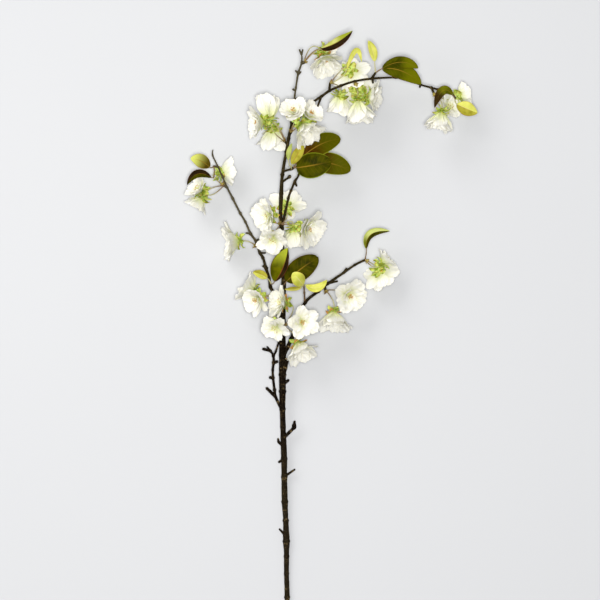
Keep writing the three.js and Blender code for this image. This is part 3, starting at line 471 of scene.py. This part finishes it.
class Graph:
    """A material's nodes. Its along, across and tone are the mark of the shell's points, and place is a
    point's place in metres."""

    def __init__(self, name, roughness, specular=0.5, **sockets):
        self.material = bpy.data.materials.new(name)
        self.material.use_nodes = True
        self.nodes = self.material.node_tree.nodes
        self.links = self.material.node_tree.links
        self.shader = self.nodes["Principled BSDF"]
        self.set(self.shader, {"Roughness": roughness, "Specular IOR Level": specular, **sockets})
        mark = self.add("ShaderNodeAttribute", attribute_name="mark")
        parts = self.add("ShaderNodeSeparateXYZ", {0: mark.outputs["Vector"]})
        self.along, self.across, self.tone = parts.outputs
        self.place = self.add("ShaderNodeTexCoord").outputs["Object"]

    def set(self, node, inputs):
        for key, value in inputs.items():
            socket = node.inputs[key]
            if isinstance(value, bpy.types.NodeSocket):
                self.links.new(value, socket)
            else:
                socket.default_value = (*value, 1) if socket.type == "RGBA" else value

    def add(self, kind, inputs=None, **settings):
        node = self.nodes.new(kind)
        for key, value in settings.items():
            setattr(node, key, value)
        self.set(node, inputs or {})
        return node

    def math(self, operation, *values):
        return self.add("ShaderNodeMath", dict(enumerate(values)), operation=operation).outputs[0]

    def times(self, first, second):
        return self.math("MULTIPLY", first, second)

    def range(self, value, low, high, start=0, end=1):
        node = self.add("ShaderNodeMapRange", {0: value, 1: low, 2: high, 3: start, 4: end},
                        interpolation_type="SMOOTHSTEP")
        return node.outputs[0]

    def mix(self, factor, first, second):
        node = self.add("ShaderNodeMix", data_type="RGBA")
        self.set(node, {0: factor, 6: first, 7: second})
        return node.outputs[2]

    def noise(self, vector, scale, detail):
        node = self.add("ShaderNodeTexNoise", {"Vector": vector, "Scale": scale, "Detail": detail})
        return node.outputs["Fac"]

    def point(self, x, y, z):
        return self.add("ShaderNodeCombineXYZ", {0: x, 1: y, 2: z}).outputs[0]

    def finish(self, colour, roughness=None, height=None, strength=0.3, distance=0.0002):
        self.set(self.shader, {"Base Color": colour})
        if roughness is not None:
            self.set(self.shader, {"Roughness": roughness})
        if height is not None:
            bump = self.add("ShaderNodeBump", {"Strength": strength, "Distance": distance, "Height": height})
            self.set(self.shader, {"Normal": bump.outputs[0]})
        return self.material


def bark_material():
    """Dark bark, blackest halfway up the stem and paler on younger wood, with flecks and ring scars."""
    graph = Graph("bark", 0.75, 0.01)
    x, y = graph.add("ShaderNodeSeparateXYZ", {0: graph.place}).outputs[:2]
    patches = graph.noise(graph.place, 160, 4)
    foot = graph.mix(patches, (0.004, 0.003, 0.0014), (0.02, 0.014, 0.007))
    middle = graph.mix(patches, (0.0015, 0.001, 0.0006), (0.008, 0.005, 0.003))
    upper = graph.mix(patches, (0.008, 0.006, 0.002), (0.03, 0.022, 0.008))
    young = graph.mix(patches, (0.035, 0.029, 0.015), (0.09, 0.078, 0.045))
    colour = graph.mix(graph.range(y, -0.19, -0.1), foot, middle)
    above = graph.math("MAXIMUM", graph.range(y, 0, 0.12), graph.range(x, -0.03, 0.01))
    colour = graph.mix(above, colour, upper)
    # The tips of the leader and of the left branch are the youngest wood
    leader_tip = graph.times(graph.range(y, 0.27, 0.31), graph.range(x, -0.034, -0.022, 1, 0))
    left_tip = graph.range(x, -0.11, -0.08, 1, 0)
    colour = graph.mix(graph.math("MAXIMUM", leader_tip, left_tip), colour, young)
    turn = graph.times(graph.across, 2 * math.pi)
    around = graph.math("COSINE", turn), graph.math("SINE", turn)
    skin = graph.point(*around, graph.times(graph.along, 0.9))
    flecks = graph.range(graph.noise(skin, 2.6, 2), 0.63, 0.7)
    colour = graph.mix(graph.times(flecks, 0.5), colour, (0.26, 0.2, 0.12))
    # Ring scars, thin and broken, unevenly far apart
    wander = graph.times(graph.noise(skin, 0.35, 1), 1.6)
    turns = graph.math("ADD", graph.times(graph.along, 1 / RING_SPACING), wander)
    ring = graph.math("ABSOLUTE", graph.math("SUBTRACT", graph.math("FRACT", turns), 0.5))
    ring = graph.times(graph.range(ring, 0.015, 0.04, 1, 0), graph.range(patches, 0.42, 0.55))
    colour = graph.mix(graph.times(ring, 0.55), colour, (0.32, 0.22, 0.09))
    fine = graph.noise(graph.place, 900, 5)
    height = graph.math("ADD", graph.times(fine, 0.6), graph.math("ADD", flecks, patches))
    height = graph.math("ADD", height, ring)
    return graph.finish(colour, graph.range(patches, 0.3, 0.7, 0.62, 0.8), height, 0.7, 0.0004)


def cut_wood_material():
    """Pale, grainy wood of a cut face."""
    graph = Graph("cut_wood", 0.8)
    grain = graph.noise(graph.place, 1500, 4)
    colour = graph.mix(grain, (0.3, 0.19, 0.09), (0.56, 0.42, 0.24))
    return graph.finish(colour, None, grain, 0.5, 0.0003)


TAN = (0.2, 0.12, 0.012)
DARK_RIM = (0.07, 0.035, 0.004)
RED_BROWN = (0.14, 0.035, 0.012)


def leaf_material(name, blade, shade, vein=TAN, rim=DARK_RIM, gloss=0.4, tip=None, margin=0.9,
                  turns=(0.4, 0.75)):
    """A leaf's skin: blade and shade are its two tones, vein its ribs, rim its edge, from margin on, and tip
    its far part, which begins and is reached at turns of its length."""
    graph = Graph(name, gloss, 0.005)
    clouds = graph.noise(graph.place, 90, 4)
    colour = graph.mix(graph.range(clouds, 0.35, 0.65), blade, shade)
    if tip is not None:
        colour = graph.mix(graph.range(graph.along, *turns), colour, tip)
    side = graph.math("ABSOLUTE", graph.across)
    # Side veins run forward from the midrib to the edge
    forward = graph.times(graph.along, VEINS.count)
    step = graph.math("FRACT", graph.math("SUBTRACT", forward, graph.times(side, VEINS.slant)))
    away = graph.math("ABSOLUTE", graph.math("SUBTRACT", step, 0.5))
    branch_vein = graph.range(away, 0.02, 0.11, 1, 0)
    branch_vein = graph.times(branch_vein, graph.range(side, 0.55, 0.95, 1, 0))
    midrib = graph.range(side, 0.02, 0.07, 1, 0)
    midrib = graph.times(midrib, graph.range(graph.along, 0.35, 0.85, 1, 0.15))
    ribs = graph.math("MAXIMUM", graph.times(branch_vein, 0.14), midrib)
    colour = graph.mix(ribs, colour, vein)
    colour = graph.mix(graph.range(side, margin, 1), colour, rim)
    net = graph.add("ShaderNodeTexVoronoi", {"Vector": graph.place, "Scale": 700}, feature="DISTANCE_TO_EDGE")
    height = graph.math("SUBTRACT", graph.times(net.outputs["Distance"], 0.8), ribs)
    roughness = graph.range(clouds, 0.3, 0.7, gloss - 0.06, gloss + 0.08)
    return graph.finish(colour, roughness, height, 0.35, 0.0003)


def petal_material():
    """White to cream with fine lines along the petal, and green from its claw far up the petal: partly the
    petal's own green base, partly painted shade inside the blossom.
    """
    graph = Graph("petal", 0.6, 0.1, **{
        "Subsurface Weight": 0.35, "Subsurface Radius": (1, 0.97, 0.8), "Subsurface Scale": 0.002})
    across = graph.times(graph.across, 5)
    lines = graph.point(across, graph.times(graph.along, 1.2), graph.tone)
    veins = graph.noise(lines, 2.2, 3)
    colour = graph.mix(graph.range(veins, 0.35, 0.65), (0.82, 0.815, 0.765), (0.76, 0.735, 0.6))
    # Green from the claw up to three quarters of the petal: partly the petal's own colour, partly painted
    # shade inside the blossom
    claw = graph.range(graph.along, 0.02, 0.75, 1, 0)
    colour = graph.mix(graph.times(claw, 0.85), colour, (0.64, 0.68, 0.28))
    return graph.finish(colour, graph.range(veins, 0.3, 0.7, 0.5, 0.62), veins, 0.15, 0.0003)


def plain_material(name, dark, light, roughness, scale=400):
    """Small parts: two tones in fine patches."""
    graph = Graph(name, roughness)
    patches = graph.noise(graph.place, scale, 3)
    colour = graph.mix(graph.range(patches, 0.35, 0.65), dark, light)
    return graph.finish(colour, None, patches)


def sepal_material(name, browns_at, brown):
    """Green, with brown tips from browns_at of the length on, where the tone is high."""
    graph = Graph(name, 0.55, 0.15, **{"Subsurface Weight": 0.4, "Subsurface Scale": 0.0015})
    patches = graph.noise(graph.place, 220, 3)
    share = graph.math("SUBTRACT", patches, graph.times(graph.along, 0.08))
    colour = graph.mix(graph.range(share, 0.3, 0.6), (0.2, 0.26, 0.012), (0.56, 0.64, 0.16))
    tip = graph.math("ADD", graph.along, graph.times(patches, 0.3))
    tip = graph.range(tip, browns_at, browns_at + 0.25)
    colour = graph.mix(graph.times(tip, graph.range(graph.tone, 0.5, 0.9)), colour, brown)
    return graph.finish(colour, None, patches)


def pedicel_material():
    """Green by the blossom and brown by the wood: the tone runs from 0 to 1."""
    graph = Graph("pedicel", 0.55)
    patches = graph.noise(graph.place, 500, 3)
    share = graph.range(graph.tone, 0.15, 0.85)
    colour = graph.mix(share, (0.16, 0.09, 0.035), (0.4, 0.38, 0.17))
    return graph.finish(colour, None, patches)


BARK = bark_material()
CUT_WOOD = cut_wood_material()
SHOOT = plain_material("shoot", (0.05, 0.02, 0.008), (0.16, 0.09, 0.03), 0.6)
PETAL_SKIN = petal_material()
SEPAL_SKIN = sepal_material("sepal", 0.9, (0.4, 0.13, 0.025))
AGED_SEPAL_SKIN = sepal_material("aged_sepal", 0.6, (0.5, 0.24, 0.07))
PEDICEL_SKIN = pedicel_material()
SCALE_SKIN = plain_material("bud_scale", (0.09, 0.03, 0.01), (0.34, 0.28, 0.05), 0.6)
FILAMENT = plain_material("filament", (0.68, 0.7, 0.36), (0.84, 0.84, 0.62), 0.5)
ANTHER = plain_material("anther", (0.36, 0.14, 0.012), (0.64, 0.31, 0.04), 0.7, 900)
PALE_ANTHER = plain_material("pale_anther", (0.62, 0.6, 0.22), (0.78, 0.74, 0.4), 0.7, 900)
HEART_SKIN = plain_material("heart", (0.35, 0.42, 0.1), (0.6, 0.62, 0.22), 0.6)

# Leaf skins: blade, shade, and what differs from the usual values of leaf_material
LEAF_TONES = {
    "dark": ((0.02, 0.021, 0.0002), (0.046, 0.044, 0.0006), {}),
    "moss": ((0.026, 0.03, 0.0002), (0.06, 0.064, 0.0008), {"tip": (0.1, 0.105, 0.001)}),
    "fresh": ((0.04, 0.043, 0.0003), (0.1, 0.1, 0.001),
              {"vein": RED_BROWN, "tip": (0.36, 0.4, 0.03), "turns": (0.35, 1)}),
    "rimmed": ((0.02, 0.022, 0.0002), (0.05, 0.05, 0.0006), {"rim": (0.16, 0.19, 0.01), "margin": 0.88}),
    "rusty": ((0.045, 0.014, 0.0006), (0.06, 0.026, 0.001),
              {"rim": (0.2, 0.22, 0.015), "tip": (0.062, 0.062, 0.0008), "turns": (0.25, 0.65)}),
    "burnt": ((0.12, 0.13, 0.004), (0.07, 0.075, 0.002), {"rim": RED_BROWN, "tip": (0.025, 0.014, 0.003)}),
    "brown": ((0.008, 0.005, 0.0015), (0.022, 0.012, 0.004),
              {"vein": (0.1, 0.03, 0.012), "rim": RED_BROWN, "gloss": 0.5}),
    # Pale yellow-green near the stalk, partly a painted highlight, turning green towards the tip
    "lime": ((0.5, 0.5, 0.17), (0.4, 0.42, 0.1), {"rim": (0.3, 0.3, 0.05), "tip": (0.24, 0.27, 0.02)}),
    "edged": ((0.1, 0.11, 0.006), (0.15, 0.17, 0.02),
              {"rim": (0.3, 0.34, 0.07), "tip": (0.42, 0.46, 0.14), "margin": 0.6, "turns": (0.15, 0.5)}),
    "turning": ((0.05, 0.03, 0.003), (0.09, 0.07, 0.004),
                {"rim": (0.3, 0.2, 0.04), "gloss": 0.45, "tip": (0.52, 0.55, 0.12), "turns": (0.15, 1)}),
    "olive": ((0.36, 0.33, 0.04), (0.22, 0.2, 0.015),
              {"vein": (0.3, 0.14, 0.04), "rim": (0.25, 0.12, 0.03), "gloss": 0.42}),
    "young": ((0.56, 0.56, 0.12), (0.42, 0.43, 0.06),
              {"vein": (0.6, 0.55, 0.24), "rim": (0.5, 0.38, 0.08), "gloss": 0.45}),
    "pale": ((0.34, 0.38, 0.1), (0.25, 0.3, 0.07),
             {"vein": (0.5, 0.5, 0.22), "rim": (0.3, 0.2, 0.06), "gloss": 0.55}),
}
LEAF_SKINS = {
    name: leaf_material(f"leaf_{name}", blade, shade, **more)
    for name, (blade, shade, more) in LEAF_TONES.items()
}

# The skins whose leaves have pale petioles
PALE_STALKED = ("young", "pale", "olive")

# Skins of the wood, of a group's stalks and of a blossom, and their numbers on these pieces
WOOD_SKINS = [BARK, CUT_WOOD, SHOOT]
ON_BARK, ON_CUT, ON_SHOOT = range(3)
STALK_SKINS = [SEPAL_SKIN, PEDICEL_SKIN, SCALE_SKIN, AGED_SEPAL_SKIN]
ON_SEPAL, ON_PEDICEL, ON_SCALE, ON_AGED_SEPAL = range(4)
BLOOM_SKINS = [PETAL_SKIN, FILAMENT, ANTHER, HEART_SKIN, PALE_ANTHER]
ON_PETAL, ON_FILAMENT, ON_ANTHER, ON_HEART, ON_PALE_ANTHER = range(5)


def put(name, data):
    """A new object in the scene."""
    made = bpy.data.objects.new(name, data)
    bpy.context.collection.objects.link(made)
    return made


def make_piece(name, shell, skins, node, sharp=50):
    """One Blender object that stands for one solid of the frame."""
    mesh = bpy.data.meshes.new(name)
    points = [(point - GROUND_MIDDLE) * MM for point in shell.points]
    mesh.from_pydata([tuple(point) for point in points], [], shell.faces)
    mesh.polygons.foreach_set("material_index", shell.materials)
    mesh.attributes.new("mark", "FLOAT_VECTOR", "POINT").data.foreach_set("vector", shell.marks)
    mesh.shade_smooth()
    mesh.set_sharp_from_angle(angle=math.radians(sharp))
    for skin in skins:
        mesh.materials.append(skin)
    made = put(name, mesh)
    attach(made, "root")
    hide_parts(node)


def curve_point(points, t):
    """A point of the smooth curve through points, t counting from point to point."""
    i = min(int(t), len(points) - 2)
    share = t - i
    before = points[max(i - 1, 0)]
    after = points[min(i + 2, len(points) - 1)]
    first, second = points[i], points[i + 1]
    return 0.5 * (2 * first + (second - before) * share
                  + (2 * before - 5 * first + 4 * second - after) * share ** 2
                  + (3 * first - before - 3 * second + after) * share ** 3)


def bend(start, middle, end, t):
    """A point of the curve that leaves start towards middle and reaches end from there."""
    return start * (1 - t) ** 2 + middle * 2 * t * (1 - t) + end * t ** 2


def between(table, x):
    """The value at x of a line drawn through the table's points."""
    for (low, first), (high, second) in zip(table, table[1:]):
        if x <= high:
            return first + (second - first) * (x - low) / (high - low)
    return table[-1][1]


def limb(shell, route, sides, step, seed, girth, cut=False, material=ON_BARK):
    """Wood along a route, with swellings at its nodes and an uneven skin."""
    centres = [Vector(station[:3]) for station in route]
    stations = []
    for i in range(len(route) - 1):
        length = (centres[i + 1] - centres[i]).length
        pieces = max(2, round(length / step))
        for k in range(pieces + (i == len(route) - 2)):
            share = k / pieces
            centre = curve_point(centres, i + share)
            eased = share * share * (3 - 2 * share)
            radius = between(girth, i + share) * (route[i][3] * (1 - eased) + route[i + 1][3] * eased)
            for j, near in ((i, share * length), (i + 1, (1 - share) * length)):
                if 0 < j < len(route) - 1:
                    knot = WOOD.knot + WOOD.knot_varies * vary(seed, j)
                    radius += knot * bell(near, WOOD.knot_length)
            radius *= sum((high * noise.noise(centre * often) for high, often in LUMPS), 1)
            stations.append((centre, radius))
    if not cut:
        centre, radius = stations[-1]
        ahead = (centre - stations[-2][0]).normalized()
        for forward, share in ROUND_END:
            stations.append((centre + ahead * radius * forward, radius * share))
    shell.tube(stations, sides, material, ON_CUT if cut else None, seed)


def make_branch():
    """All the wood in one piece. Its underside is flat where it lies on the ground."""
    shell = Shell()
    for number, (name, route) in enumerate(LIMBS.items()):
        sides = WOOD.stem_sides if name == "stem" else WOOD.limb_sides
        limb(shell, route, sides, WOOD.limb_step, number, GIRTH.get(name, GIRTH["limb"]), name in CUT)
    for number, route in enumerate(TWIGS):
        young = number == YOUNG_SHOOT
        girth = GIRTH["young" if young else "twig"]
        material = ON_SHOOT if young else ON_BARK
        seed = TWIG_SEED + number
        limb(shell, route, WOOD.twig_sides, WOOD.twig_step, seed, girth, material=material)
    for point in shell.points:
        point.z = max(point.z, 0)
    make_piece("branch_wood", shell, WOOD_SKINS, "branch", sharp=60)


class Bloom:
    """A blossom's place, size and directions: along is the way it faces."""

    def __init__(self, foot, faces, petal, leans, spin, via=None):
        self.foot = Vector(foot)
        self.along = Vector(faces).normalized()
        self.petal = petal
        self.leans = leans
        self.via = via
        level = Vector((0, 1, 0)) if abs(self.along.z) > 0.9 else UP
        self.right = level.cross(self.along).normalized()
        self.right.rotate(Quaternion(self.along, math.radians(spin)))
        self.up = self.along.cross(self.right)

    def out(self, turn):
        return self.right * math.cos(turn) + self.up * math.sin(turn)


def turned(foot, along, profile):
    """The stations of a turned part that stands on foot."""
    return [(foot + along * height, radius) for height, radius in profile]


def above_ground(point, least):
    """Petals and leaves that meet the surface bend and lie on it, the deepest a little higher."""
    if point.z < least:
        point.z = least + GROUND_EASE * (1 - math.exp(-(least - point.z)))
    return point


def arc(along, out, length, low, turn, share):
    """A blade leans out from along by low at its foot and bends by turn. At a share of its length: how far it
    has run out, how far it has risen, and the way its inner side looks."""
    lean = low + turn * share
    run = length / turn * (math.cos(low) - math.cos(lean))
    rise = length / turn * (math.sin(lean) - math.sin(low))
    return run, rise, along * math.sin(lean) - out * math.cos(lean)


def petal_rows(bloom, petal, seed):
    """Rows of (point, normal, along, across) over one petal, from its claw to its tip."""
    out = bloom.out(petal.turn)
    side = bloom.along.cross(out)
    low, high = petal.base_tilt, petal.tip_tilt
    turn = high - low + 1e-3
    length, width = petal.length, petal.width
    phase = 3 * vary(seed, 3)
    rows = []
    for i, t in enumerate(shares(PETAL.rows)):
        if t < PETAL.widest:
            spread = PETAL.claw + (1 - PETAL.claw) * math.sin(t / PETAL.widest * math.pi / 2)
        else:
            after = (t - PETAL.widest) / (1 - PETAL.widest)
            spread = PETAL.tip + (1 - PETAL.tip) * math.cos(after * math.pi / 2)
        row = []
        for j, share in enumerate(shares(PETAL.columns)):
            u = 2 * share - 1
            torn = PETAL.ragged * vary(seed, 7 * j + 1) * t ** 6
            notch = PETAL.notch * t ** 4 * bell(u - 0.15 * vary(seed, 5), PETAL.notch_width)
            reach = t - PETAL.round * t ** 3 * u * u - notch + torn
            run, rise, normal = arc(bloom.along, out, length, low, turn, reach)
            half = width / 2 * spread * (1 + 0.05 * vary(seed, 11 * i + 2) * abs(u) ** 3)
            lift = half * t * (PETAL.cup * u * u + PETAL.roll * u)
            ripple = math.sin(5.2 * u + phase) * (0.4 + abs(u))
            ripple += 0.7 * math.sin(9 * t + 3 * u + 2 * phase) * abs(u)
            lift += PETAL.ruffle * petal.ruffle * length * t * t * ripple
            # A shallow groove down the middle
            lift -= PETAL.groove * length * t * bell(u, PETAL.groove_width)
            point = (bloom.foot + out * (DISC_RADIUS * petal.disc + run)
                     + bloom.along * (petal.height + rise) + normal * lift + side * (u * half))
            row.append((above_ground(point, PETAL.lowest), normal, t, u))
        rows.append(row)
    return rows


def whorl(bloom, layer, seed):
    """The petals of one layer, each a little different."""
    tilt = layer.tilt
    scale = bloom.petal * layer.scale
    for k in range(layer.petals):
        detail = k + layer.detail
        yield Sizes(
            turn=2 * math.pi * (k + layer.offset + 0.2 * vary(seed, detail + 30)) / layer.petals,
            length=scale * (1 + 0.12 * vary(seed, detail)),
            width=scale * layer.width * (1 + 0.1 * vary(seed, detail + 35)),
            base_tilt=math.radians(max(6, bloom.leans[0] + tilt + 5 * vary(seed, detail + 5))),
            tip_tilt=math.radians(bloom.leans[1] + tilt + 13 * vary(seed, detail + 10)),
            height=layer.height,
            ruffle=0.8 + 0.5 * vary(seed, detail + 15),
            disc=layer.disc,
        )


def make_bloom(name, bloom, seed):
    """An open blossom: its petals in layers, the green heart between their claws, stamens and style."""
    shell = Shell()
    for layer in LAYERS:
        for k, petal in enumerate(whorl(bloom, layer, seed)):
            rows = petal_rows(bloom, petal, 100 * seed + layer.detail + k)
            shell.sheet(rows, PETAL.thickness, ON_PETAL, ON_PETAL, vary(seed, k + layer.detail))
    shell.tube(turned(bloom.foot, bloom.along, HEART_PROFILE), SIDES.heart, ON_HEART)
    count = STAMENS.count
    ripe = name in RIPE
    degrees = STAMENS.ripe_spread if ripe else min(STAMENS.spread, bloom.leans[0] - STAMENS.inside)
    spread = math.radians(degrees)
    for k in range(count):
        turn = 2 * math.pi * GOLDEN_SHARE * k
        lean = spread * math.sqrt((k + 0.5) / count) * (1 + 0.2 * vary(seed, 50 + k))
        length = STAMENS.length * (0.85 + 0.2 * vary(seed, 80 + k))
        out = bloom.out(turn)
        start = bloom.foot + bloom.along * STAMENS.foot
        start += out * STAMENS.foot_radius * math.sqrt((k + 0.5) / count)
        top = start + (bloom.along * math.cos(lean) + out * math.sin(lean)) * length
        pull = start + bloom.along * length * 0.5
        points = [above_ground(bend(start, pull, top, share), STAMENS.lowest) for share in shares(4)]
        shell.tube([(point, STAMENS.radius) for point in points], SIDES.filament, ON_FILAMENT)
        ahead = (points[-1] - points[-2]).normalized()
        material = ON_ANTHER if ripe or k % 4 == 0 else ON_PALE_ANTHER
        shell.ball(points[-1], ahead, STAMENS.anther, STAMENS.anther_length, material)
    shell.tube(turned(bloom.foot, bloom.along, STYLE_PROFILE), SIDES.style, ON_HEART)
    make_piece(f"petals_{name}", shell, BLOOM_SKINS, f"bloom_{name}")


def sepal(shell, foot, along, out, seed, length, width, lean, material=ON_SEPAL, tone=None):
    """A pointed green blade. It leans out from along by two angles in degrees, at its foot and its tip."""
    side = along.cross(out)
    low, high = (math.radians(angle) for angle in lean)
    if tone is None:
        tone = 0.5 + 0.5 * vary(seed, 4)
    rows = []
    for t in shares(SEPAL.rows):
        run, rise, normal = arc(along, out, length, low, high - low, t)
        spread = SEPAL.claw + (1 - SEPAL.claw) * math.sin(math.pi * min(1, t * 1.1))
        half = width / 2 * spread * (1 - t ** 4) ** 0.7 + SEPAL.tip
        half *= 1 + SEPAL.ragged * math.sin(30 * t + seed) * t
        row = []
        for share in shares(SEPAL.columns):
            u = 2 * share - 1
            lift = half * (SEPAL.cup * u * u + SEPAL.roll * u)
            lift += SEPAL.twist * math.sin(6 * t + seed) * t
            point = foot + out * run + along * rise + normal * lift + side * u * half
            row.append((above_ground(point, SEPAL.lowest), normal, t, u))
        rows.append(row)
    shell.sheet(rows, SEPAL.thickness, material, material, tone)


def make_stalks(name, root, blooms, first_seed):
    """The stalks of one group, each with its cup and ten sepals in two rings, grown together at the spur."""
    shell = Shell()
    for k, bloom in enumerate(blooms):
        seed = first_seed + k
        cup = bloom.foot - bloom.along * CALYX.length
        reach = (cup - root).length
        pull = Vector(bloom.via) if bloom.via else cup - bloom.along * PEDICEL.bow * reach
        path = []
        for share in shares(max(6, round(reach / PEDICEL.step))):
            thickness = PEDICEL.slim + PEDICEL.cup_swell * bell((1 - share) * reach, PEDICEL.cup_length)
            thickness += PEDICEL.spur_swell * bell(share * reach, PEDICEL.spur_length)
            path.append((bend(root, pull, cup, share), PEDICEL.radius * thickness))
        first = len(shell.points)
        shell.tube(path, SIDES.pedicel, ON_PEDICEL)
        # The pedicel's tone runs from the wood to the blossom
        for number in range(first, len(shell.points)):
            shell.marks[3 * number + 2] = min(1, shell.marks[3 * number] / max(1, reach))
        shell.tube(turned(cup, bloom.along, CUP_PROFILE), SIDES.cup, ON_SEPAL)
        for s in range(CALYX.sepals):
            turn = 2 * math.pi * (s + 0.5 + 0.25 * vary(seed, 75 + s)) / CALYX.sepals
            out = bloom.out(turn)
            drop, scale, (low, high) = SEPAL_RINGS[s % 2]
            foot = cup + bloom.along * (CALYX.sepal_foot - drop) + out * CALYX.seat
            size = scale * (1 + 0.15 * vary(seed, 60 + s))
            lean = (low + 10 * vary(seed, 65 + s), high + 24 * vary(seed, 70 + s))
            material, tone = (ON_AGED_SEPAL, 0.85) if s % 2 == 0 and name in AGED else (ON_SEPAL, None)
            sepal(shell, foot, bloom.along, out, 10 * seed + s, SEPAL.length * size, SEPAL.width * size,
                  lean, material, tone)
    # Bud scales round the place where the stalks leave the wood
    cup = blooms[0].foot - blooms[0].along * CALYX.length
    ahead = (cup - root).normalized()
    side = ahead.orthogonal().normalized()
    for k in range(BUD_SCALE.count):
        out = side.copy()
        out.rotate(Quaternion(ahead, 2 * math.pi * k / BUD_SCALE.count))
        foot = root - ahead * BUD_SCALE.back + out * BUD_SCALE.out
        length = BUD_SCALE.length + vary(first_seed, k)
        sepal(shell, foot, ahead, out, first_seed + k, length, BUD_SCALE.width, BUD_SCALE.lean,
              ON_SCALE)
    make_piece(f"stalks_{name}_green", shell, STALK_SKINS, f"stalks_{name}")


def make_leaf(shell, blade, root, skins, seed):
    """A petiole and a folded, veined blade on a bowed midrib."""
    left, right, under = (skins.index(name) for name in (blade.left, blade.right, blade.under))
    base, middle, tip, start = (Vector(point) for point in (blade.base, blade.middle, blade.tip, root))
    pull = middle * 2 - base * 0.5 - tip * 0.5
    heading = (pull - base).normalized()
    faces = Vector(blade.faces)
    stem_pull = base - heading * LEAF.bow * (base - start).length
    join = base + heading * LEAF.overlap
    path = [(bend(start, stem_pull, join, share), LEAF.petiole * (1.15 - 0.3 * share))
            for share in shares(10)]
    stalk_tone = 0.9 if blade.left in PALE_STALKED else 0.2
    shell.tube(path, SIDES.pedicel, skins.index("pedicel"), tone=stalk_tone)
    rows = []
    for i, s in enumerate(shares(LEAF.rows)):
        centre = bend(base, pull, tip, s)
        ahead = ((pull - base) * (1 - s) + (tip - pull) * s).normalized()
        side = faces.cross(ahead).normalized()
        normal = ahead.cross(side)
        teeth = 1 + LEAF.teeth * (i % 2) * (0 < s < 1)
        spread = max(0, math.sin(math.pi * s ** LEAF.widest_power)) ** blade.blunt
        half = max(blade.width / 2 * spread * teeth, LEAF.least_half)
        row = []
        for share in shares(LEAF.columns):
            u = 2 * share - 1
            lift = abs(u) ** 1.2 * half * blade.fold
            place = u * half
            # From the midrib outwards, where the midrib lies off the middle
            u = (u - blade.rib_at) / (1 - blade.rib_at if u > blade.rib_at else 1 + blade.rib_at)
            lift += LEAF.wave * half * math.sin(7 * s + 2.2 * u + seed) * abs(u)
            lift -= LEAF.droop * half * abs(u) ** 3
            # Grooves over the midrib and the side veins
            lift -= VEINS.midrib * bell(u, VEINS.midrib_width)
            off_vein = ((VEINS.count * s - VEINS.slant * abs(u)) % 1) - 0.5
            depth = VEINS.groove * bell(off_vein, VEINS.groove_width)
            lift -= depth * min(1, 4 * abs(u)) * (1 - abs(u))
            point = centre + side * place + normal * lift
            row.append((above_ground(point, LEAF.lowest), normal, s, u))
        rows.append(row)
    shell.sheet(rows, LEAF.thickness, right, under, left=left)


# The camera's place in metres, its sensor and its lens in millimetres, and how far it sees in metres
CAMERA = Sizes(place=(-0.04, 0.045, 4.167), sensor=36, lens=198.1, clip_end=100)
FLOOR_HALF = 6
FLOOR_TONES = ((0.495, 0.504, 0.523), (0.503, 0.512, 0.531))
SKY_COLOUR = (0.97, 0.985, 1, 1)
SKY_STRENGTH = 0.25
LAMP_COLOUR = (1, 0.985, 0.96)
# Soft lights: name, direction, distance and size in metres, power in watts
LIGHTS = (
    ("window", (-0.46, 0.66, 0.6), 4, 2.6, 62),
    ("overhead", (0, 0, 1), 3.5, 0.6, 130),
    ("left_fill", (-1.3, 0.2, 1.1), 1.7, 1.2, 6),
)


def make_camera():
    """Straight above, as the photograph was taken: its frame shows 750 mm of the plane 40 mm up."""
    camera = put("camera", bpy.data.cameras.new("camera"))
    camera.location = Vector(CAMERA.place)
    camera.data.sensor_width = CAMERA.sensor
    camera.data.lens = CAMERA.lens
    camera.data.clip_end = CAMERA.clip_end
    bpy.context.scene.camera = camera


def make_floor():
    """A plain pale floor."""
    mesh = bpy.data.meshes.new("floor")
    corners = [(x * FLOOR_HALF, y * FLOOR_HALF, 0) for x, y in ((-1, -1), (1, -1), (1, 1), (-1, 1))]
    mesh.from_pydata(corners, [], [(0, 1, 2, 3)])
    floor = put("floor", mesh)
    graph = Graph("paper", 0.9, 0.2)
    mesh.materials.append(graph.finish(graph.mix(graph.noise(graph.place, 3, 2), *FLOOR_TONES)))


def make_lights():
    """Soft light from above and from the upper left."""
    world = bpy.data.worlds.new("studio")
    world.use_nodes = True
    background = world.node_tree.nodes["Background"]
    background.inputs["Color"].default_value = SKY_COLOUR
    background.inputs["Strength"].default_value = SKY_STRENGTH
    bpy.context.scene.world = world
    bpy.context.scene.view_settings.view_transform = "Standard"
    for name, way, away, size, energy in LIGHTS:
        lamp = put(name, bpy.data.lights.new(name, "AREA"))
        lamp.data.shape = "DISK"
        lamp.data.size = size
        lamp.data.energy = energy
        lamp.data.color = LAMP_COLOUR
        way = Vector(way).normalized()
        lamp.location = way * away
        lamp.rotation_euler = way.to_track_quat("Z", "Y").to_euler()


def make_leaves(name, colour, root, rows, first_seed):
    """The blades of one node, with each skin that they use once."""
    blades = [Blade(*row) for row in rows]
    skins = sorted({skin for blade in blades for skin in (blade.left, blade.right, blade.under)})
    skins.append("pedicel")
    shell = Shell()
    for k, blade in enumerate(blades):
        make_leaf(shell, blade, blade.root or root, skins, first_seed + k)
    materials = [LEAF_SKINS.get(skin, PEDICEL_SKIN) for skin in skins]
    make_piece(f"{name}_blade", shell, materials, name)


make_camera()
make_floor()
make_lights()
make_branch()
for number, (name, root, rows) in enumerate(UMBELS):
    blooms = [Bloom(*row) for row in rows]
    make_stalks(name, Vector(root), blooms, 10 * number)
    for k, bloom in enumerate(blooms):
        make_bloom(f"{name}_{k + 1}", bloom, 10 * number + k)
for number, leaf in enumerate(LEAVES):
    make_leaves(*leaf, 3 * number)
